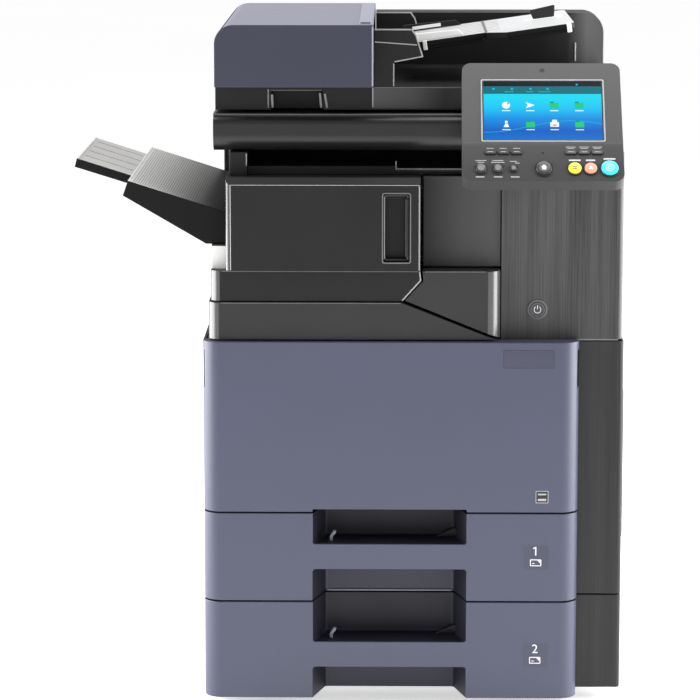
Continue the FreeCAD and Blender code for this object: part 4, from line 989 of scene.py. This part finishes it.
def make_tray_details():
    """Ribs and lip of the output tray, grooves, ridges and lip of its extension: the lips and ridges are
    painted highlights, the grooves painted shadow.
    """
    pitch, wide = 3.1, 0.65
    count = int((TRAY_RUN - 10.0) / pitch)
    ribs = [(round_rect(wide, (TRAY_REAR - TRAY_FRONT) / 2 - 4.0, 0.5, 1),
             (7.0 + pitch * index, (TRAY_REAR + TRAY_FRONT) / 2)) for index in range(count)]
    prism("output_tray_ribs", ribs, -0.1, 0.45, on_tray(), RIB_GLARE_AND_SHADOW, "machine",
          segments=1)
    boxes("output_tray_lip", [((0.2, TRAY_FRONT + 0.5, -0.4), (2.6, TRAY_REAR - 0.5, 0.9))], TRAY_EDGE_HIGHLIGHT,
          "machine", 0.5, on_tray())
    front, rear = -82.0, 192.0
    edge = -(TRAY_HIGH.x + 368.0) / math.cos(TRAY_FALL)
    across = [front + (rear - front) * part for part in (0.2, 0.42, 0.64, 0.86)]
    grooves = [(round_rect(34.0, 1.3, 1.2, 3), (edge + 41.0, y)) for y in across]
    prism("extension_grooves", grooves, -0.15, 0.12, on_tray(LEAF_DROP), GROOVE, "tray_extension", segments=1)
    ridges = [(round_rect(34.0, 0.6, 0.5, 2), (edge + 41.0, y + 2.4)) for y in across]
    prism("extension_ridges", ridges, -0.1, 0.45, on_tray(LEAF_DROP), TRAY_EDGE_HIGHLIGHT, "tray_extension",
          segments=1)
    boxes("extension_lip", [((edge + 0.6, front + 0.5, -0.4), (edge + 3.0, rear - 0.5, 0.8))], TRAY_EDGE_HIGHLIGHT,
          "tray_extension", 0.4, on_tray(LEAF_DROP))


def make_finisher_details():
    """Painted highlights as light beads along the edges of the finisher door, skirt, strip and corner panel
    and round the grip, the grip's inner step and finger bar, and a black cap over the spacer.
    """
    grip_face = DOOR_FACE + 3.8
    # Light beads on the door's and grip's edges: painted highlights.
    door_edges = (
        ("door_bevel_edge", [(-157.0, 698.2), (90.5, 698.2)], 0.9, DOOR_FACE, 0.25, PAINTED_EDGE_HIGHLIGHT, 0.1),
        ("door_right_edge", [(90.3, 586.5), (90.3, 697.5)], 1.6, DOOR_FACE, 0.25, PAINTED_EDGE_HIGHLIGHT, 0.15),
        ("door_left_edge", [(-156.2, 586.5), (-156.2, 697.5)], 1.2, DOOR_FACE, 0.2, DIM_PRINT_AND_EDGE_HIGHLIGHT, 0.1),
        ("grip_bright_left", [(44.6, 601.0), (44.6, 683.0)], 1.1, grip_face, 0.6, PAINTED_EDGE_HIGHLIGHT, 0.2),
        ("grip_bright_right", [(75.0, 601.0), (75.0, 683.0)], 1.6, grip_face, 0.6, GREY_DIM, 0.2),
    )
    for name, points, wide, face, thick, material, soft in door_edges:
        edge_line(name, points, wide, face, thick, material, "finisher_door", soft)
    middle = facing_front(60.5, DOOR_FACE, 642.0)
    ring("grip_surround", round_rect(19.0, 46.5, 3.4), round_rect(17.4, 44.9, 2.0), -0.4, 0.5, middle,
         GREY_DIM, "finisher_door")
    ring("grip_inner_step", round_rect(17.4, 44.8, 2.6), round_rect(14.6, 41.2, 3.6), -9.0, -4.0, middle,
         CHARCOAL_SHINE, "finisher_door")
    boxes("grip_finger_bar", [((72.0, DOOR_FACE + 1.2, 603.0), (77.2, DOOR_FACE + 5.0, 681.0))],
          CHARCOAL_SHINE, "finisher_door", 1.6, segments=3)
    skirt_side = [(90.8, 584.0), (92.2, 572.2), (68.2, 545.6)]
    edge_line("skirt_right_edge", skirt_side, 1.8, SKIRT_FACE, 0.25, PAINTED_EDGE_HIGHLIGHT, "machine", 0.2)
    top_edges = (("skirt_top_edge", -168.0, 89.0, SKIRT_TOP, SKIRT_FACE, "dark_plastic"),
                 ("strip_top_edge", -170.0, 66.0, 542.3, STRIP_FACE, "strip_plastic"),
                 ("corner_panel_top_edge", 98.0, 178.0, SKIRT_TOP - 0.1, CORNER_FACE, "dark_plastic"))
    for name, start, end, height, face, slot in top_edges:
        edge_line(name, [(start, height), (end, height)], 1.0, face, 0.2, GREY_DIM, "machine", 0.15)
    boxes("spacer_cap", [((-182.4, -180.0, 614.6), (-163.4, 100.0, 616.4))], BLACK, "machine", 0.3)


def make_bay_details():
    """Painted highlights along the rims where sheets come out under the scanner, and the exit step's plate.
    """
    crown_front = -168.0
    edge_line("crown_right_edge", [(-136.6, 719.0), (-136.6, 735.0)], 1.3, crown_front, 0.25, PAINTED_EDGE_HIGHLIGHT,
              "machine", 0.15)
    edge_line("exit_step_edge", [(59.7, 724.0), (59.7, 713.6), (196.0, 713.6)], 1.3, -155.6, 0.5, PAINTED_EDGE_HIGHLIGHT,
              "machine", 0.2)
    boxes("exit_step_plate", [((58.6, -155.5, 709.4), (197.0, 168.0, 712.8))], CHARCOAL_MID, "machine", 0.5)


# ------------------------------------------------------------------ scanner and document feeder

CHEEK_LINE = [(31.0, 896.0), (80.0, 896.0), (85.5, 888.0), (94.0, 861.0), (57.5, 854.0)]
PLATE_FACE = -150.0
REAR_CHEEK_FACE = 198.0
WALL_FACE = 225.0
COVER_FACE = -195.0
DOCUMENT_LEAN = math.radians(8.1)
DOCUMENT_CORNER = Vector((62.0, 57.5, 862.0))


def on_document_tray():
    """Local frame of the document tray: X up its slope to the right, Y to the rear."""
    return Matrix.Translation(DOCUMENT_CORNER * MM) @ Matrix.Rotation(-DOCUMENT_LEAN, 4, "Y")


def make_feeder_details():
    """Painted highlights along the rims of the cheeks, the rear wall and the cover's end, and along the edges
    round the lid's grip.
    """
    body = "document_feeder"
    edge_line("rear_cheek_edge", CHEEK_LINE[:4], 1.9, REAR_CHEEK_FACE, 0.3, PAINTED_BRIGHT_EDGE, body, 0.2)
    plate_edges = (
        ("front_cheek_edge", CHEEK_LINE, 1.7, 0.3, PAINTED_EDGE_HIGHLIGHT, 0.2),
        ("front_cheek_crease", [(31.5, 880.0), (87.0, 876.0)], 1.4, 0.3, PAINTED_EDGE_HIGHLIGHT, 0.2),
        ("bridge_right_edge", [(56.3, 822.0), (56.3, 852.0)], 1.3, 0.3, PAINTED_EDGE_HIGHLIGHT, 0.2),
        ("lid_grip_ledge", [(-104.8, 816.6), (-38.0, 816.6)], 1.0, 0.3, GREY_DIM, 0.2),
        ("plate_step_edge", [(29.0, 794.0), (29.0, 820.0)], 1.6, 0.4, PAINTED_EDGE_HIGHLIGHT, 0.3),
        ("plate_top_edge", [(30.0, 820.2), (347.0, 820.2)], 0.9, 0.25, GREY_DIM, 0.1),
    )
    for name, points, wide, thick, material, soft in plate_edges:
        edge_line(name, points, wide, PLATE_FACE, thick, material, body, soft)
    top = [(34.0, 894.9), (324.0, 894.9)] + [(324.0 + x, 866.0 + y) for x, y in arc_points(28.9, 84, 0, 10)]
    edge_line("rear_wall_top_edge", top + [(352.9, 824.0)], 1.5, WALL_FACE, 0.3, GREY_DIM, body, 0.2)
    edge_line("rear_wall_rib", [(314.0, 826.0), (314.0, 852.0)], 1.8, WALL_FACE, 1.5, PAINTED_BRIGHT_EDGE, body, 0.3)
    # A thin sheet over the plate's right part, carrying its painted light and shade.
    boxes("plate_right_face", [((29.5, PLATE_FACE - 0.35, 792.5), (347.0, PLATE_FACE + 0.1, 819.5))],
          PLATE_PAINTED_SHADING, body, 0.2)
    grip_edges = ((-108.3, -108.3, 818.0, 1.4), (-102.6, -103.4, 811.0, 2.8), (-38.6, -40.6, 813.0, 2.6),
                  (-31.0, -34.0, 812.0, 2.6))
    for index, (foot, head, high, wide) in enumerate(grip_edges):
        edge_line("lid_grip_edge_%d" % index, [(foot, 793.5), (head, high)], wide, PLATE_FACE, 0.5, PAINTED_MID_EDGE,
                  body, 0.3)
    boxes("feed_mouth_back", [((24.5, -142.0, 822.0), (30.4, 224.0, 852.0))], BLACK, body, 0.5)
    # A painted highlight along the cover's end.
    edge_line("cover_end_edge", [(28.9, 825.5), (28.9, 903.0)], 1.8, COVER_FACE, 0.3, COVER_EDGE,
              "feeder_cover", 0.3)
    boxes("cover_top_strip", [((11.0, COVER_FACE + 4.0, 904.8), (28.6, 262.0, 905.7))], COVER_EDGE,
          "feeder_cover", 0.4)
    marks = [((13.0, COVER_FACE + 10.0 + 13.0 * row, 905.6), (26.0, COVER_FACE + 17.0 + 13.0 * row, 906.0))
             for row in range(3)]
    boxes("cover_top_lamps", marks, BLACK, "feeder_cover", 0.2)
    rollers = bmesh.new()
    for low in (-70.0, -10.0, 50.0, 110.0):
        add_prism(rollers, circle(7.0, 28), low, low + 22.0)
    turn = Matrix.Translation(Vector((44.0, 0.0, 858.5)) * MM) @ Matrix.Rotation(math.radians(-90), 4, "X")
    bmesh.ops.transform(rollers, matrix=turn, verts=rollers.verts)
    soften(settle(object_from("pickup_rollers", rollers, [RUBBER]), body), 0.5 * MM)


def make_document_tray_details():
    """Ribs, end tabs, the dark skirt under the wide end, and the stopper's light foot."""
    body, top = "document_tray", 7.0
    ribs = [(round_rect(56.0, 0.9, 0.7, 2), (84.0, across)) for across in (-84, -56, -28, 0, 28, 56, 84)]
    prism("document_tray_ribs", ribs, top - 0.1, top + 0.5, on_document_tray(), TRAY, body, segments=1)
    parts = (
        ("near_edge", ((2.0, -113.2, 2.0), (117.0, -112.0, 6.4)),
         ((148.0, -163.2, 2.0), (224.0, -162.0, 6.4)), TRAY_SIDE, 0.4),
        ("tabs", ((225.5, -164.4, -4.5), (231.5, -158.0, 7.8)),
         ((34.0, -114.6, -5.0), (39.5, -110.0, 7.8)), OFF_WHITE, 0.8),
        ("skirt", ((150.0, -160.5, -4.5), (232.0, -60.0, 0.4)),
         ((42.0, -110.5, -4.5), (116.0, -60.0, 0.4)), TRAY_SIDE, 1.2),
    )
    for name, first, second, material, soft in parts:
        boxes("document_tray_" + name, [first, second], material, body, soft, on_document_tray())
    # A white patch on the rear guide.
    boxes("rear_guide_white_patch", [((22.0, 95.4, 9.5), (62.0, 96.2, 14.0))], OFF_WHITE, "document_guide_rear",
          0.2, on_document_tray())
    boxes("document_tray_step", [((118.5, -110.0, 6.6), (121.5, 108.0, 7.9))], GREY_DIM, body, 0.4,
          on_document_tray())
    boxes("document_stopper_seat", [((176.0, -2.0, 6.6), (228.0, 20.0, 7.3))], OFF_WHITE, body, 0.3,
          on_document_tray())


def make_scanner_details():
    """A painted highlight along the scanner's upper rim, and the border and scale marks of its glass."""
    rim_y = -164.0
    edge_line("scanner_top_edge", [(-178.5, 786.2), (347.5, 786.2)], 1.2, rim_y, 0.3, GREY_DIM, "machine",
              0.3)
    low, high = reach("platen_glass")
    level = 787.4
    border = bmesh.new()
    middle = (low + high) / 2
    wide, tall = (high.x - low.x) / 2, (high.y - low.y) / 2
    add_ring(border, round_rect(wide + 9.0, tall + 9.0, 3.0), round_rect(wide - 2.0, tall - 2.0, 1.5), -0.2,
             0.5)
    bmesh.ops.transform(border, matrix=Matrix.Translation(Vector((middle.x, middle.y, level)) * MM),
                        verts=border.verts)
    bmesh.ops.recalc_face_normals(border, faces=border.faces)
    soften(settle(object_from("platen_border", border, [GREY_DIM]), "machine"), 0.0)
    boxes("platen_scale",
          [((-150.0, -60.0 + 40.0 * step, 787.7), (-143.5, -59.4 + 40.0 * step, 788.0)) for step in range(6)],
          OFF_WHITE, "machine", 0.0)


# ------------------------------------------------------------------ sides and back

def screws(name, spots, place_of):
    """Cross-head screws: a domed head with its slots as darker bars."""
    heads, slots = bmesh.new(), bmesh.new()
    for spot in spots:
        place = place_of(spot)
        head, cross = bmesh.new(), bmesh.new()
        add_prism(head, circle(3.6, 28), -0.2, 0.9)
        add_prism(cross, round_rect(2.0, 0.35, 0.2, 1), 0.8, 1.0)
        add_prism(cross, round_rect(0.35, 2.0, 0.2, 1), 0.8, 1.0)
        for source, target in ((head, heads), (cross, slots)):
            bmesh.ops.transform(source, matrix=place, verts=source.verts)
            mesh = bpy.data.meshes.new("part")
            source.to_mesh(mesh)
            source.free()
            target.from_mesh(mesh)
            bpy.data.meshes.remove(mesh)
    soften(settle(object_from(name + "_heads", heads, [STEEL]), "machine"), 0.4 * MM)
    settle(object_from(name + "_slots", slots, [BLACK]), "machine")


def facing_rear(spot):
    return Matrix.Translation(Vector(spot) * MM) @ Matrix.Rotation(math.radians(-90), 4, "X")


def facing_left(spot):
    return Matrix.Translation(Vector(spot) * MM) @ Matrix.Rotation(math.radians(-90), 4, "Y")


def facing_right(spot):
    return Matrix.Translation(Vector(spot) * MM) @ Matrix.Rotation(math.radians(90), 4, "Y")


def make_side_details():
    """Screws, a blank rating plate, seams of the rear cover and right door, ribs of the bypass tray."""
    low, high = reach("rear_cover")
    spots = [(x, high.y, z) for x in (low.x + 14.0, (low.x + high.x) / 2, high.x - 14.0)
             for z in (low.z + 16.0, 300.0, 500.0, high.z - 14.0)]
    screws("rear_screws", spots, facing_rear)
    prism("rear_blank_plate", [(round_rect(42.0, 22.0, 2.0, 3), (0, 0))], -0.1, 0.3,
          facing_rear((230.0, high.y, 100.0)), SILVER, "machine", 0.1)
    seams = [((low.x + 3.0, high.y - 0.3, z - 0.6), (high.x - 3.0, high.y + 0.15, z + 0.6))
             for z in (144.0, 492.0)]
    boxes("rear_seams", seams, BLACK, "machine", 0.0)
    left = reach("left_cover")[0]
    screws("left_screws", [(left.x, y, z) for y in (-160.0, 250.0) for z in (160.0, 476.0)], facing_left)
    column = reach("right_column_cover")[1].x
    near, far, foot, head, seam_high, seam_wide = -122.0, 202.0, 172.4, 472.6, 2.0, 1.6
    sides = [(near, foot, far, foot + seam_high), (near, head - seam_high, far, head),
             (near, foot, near + seam_wide, head), (far - seam_wide, foot, far, head)]
    seams = [((column - 0.2, y, z), (column + 0.2, end_y, end_z)) for y, z, end_y, end_z in sides]
    boxes("right_door_seam", seams, BLACK, "machine")
    leaf = reach("bypass_tray")[1]
    ribs = [(round_rect(78.0, 0.9, 0.7, 2), (0, y)) for y in (-20.0, 10.0, 120.0, 150.0)]
    prism("bypass_tray_ribs", ribs, -0.2, 0.6, facing_right((leaf.x, 0.0, 298.0)), CHARCOAL, "bypass_tray",
          0.2)
    boxes("column_seam_backing", [((303.0, -170.0, 138.0), (356.0, 270.0, 152.0))], BLACK, "machine")


make_side_details()
make_feeder_details()
make_document_tray_details()
make_scanner_details()
make_drawer_marks()
make_tray_details()
make_finisher_details()
make_bay_details()
make_cover_marks()
make_recess_parts()
make_power_key()
make_screen()
make_icons()
make_round_keys()
make_key_marks()
make_slim_keys()
make_panel_print()
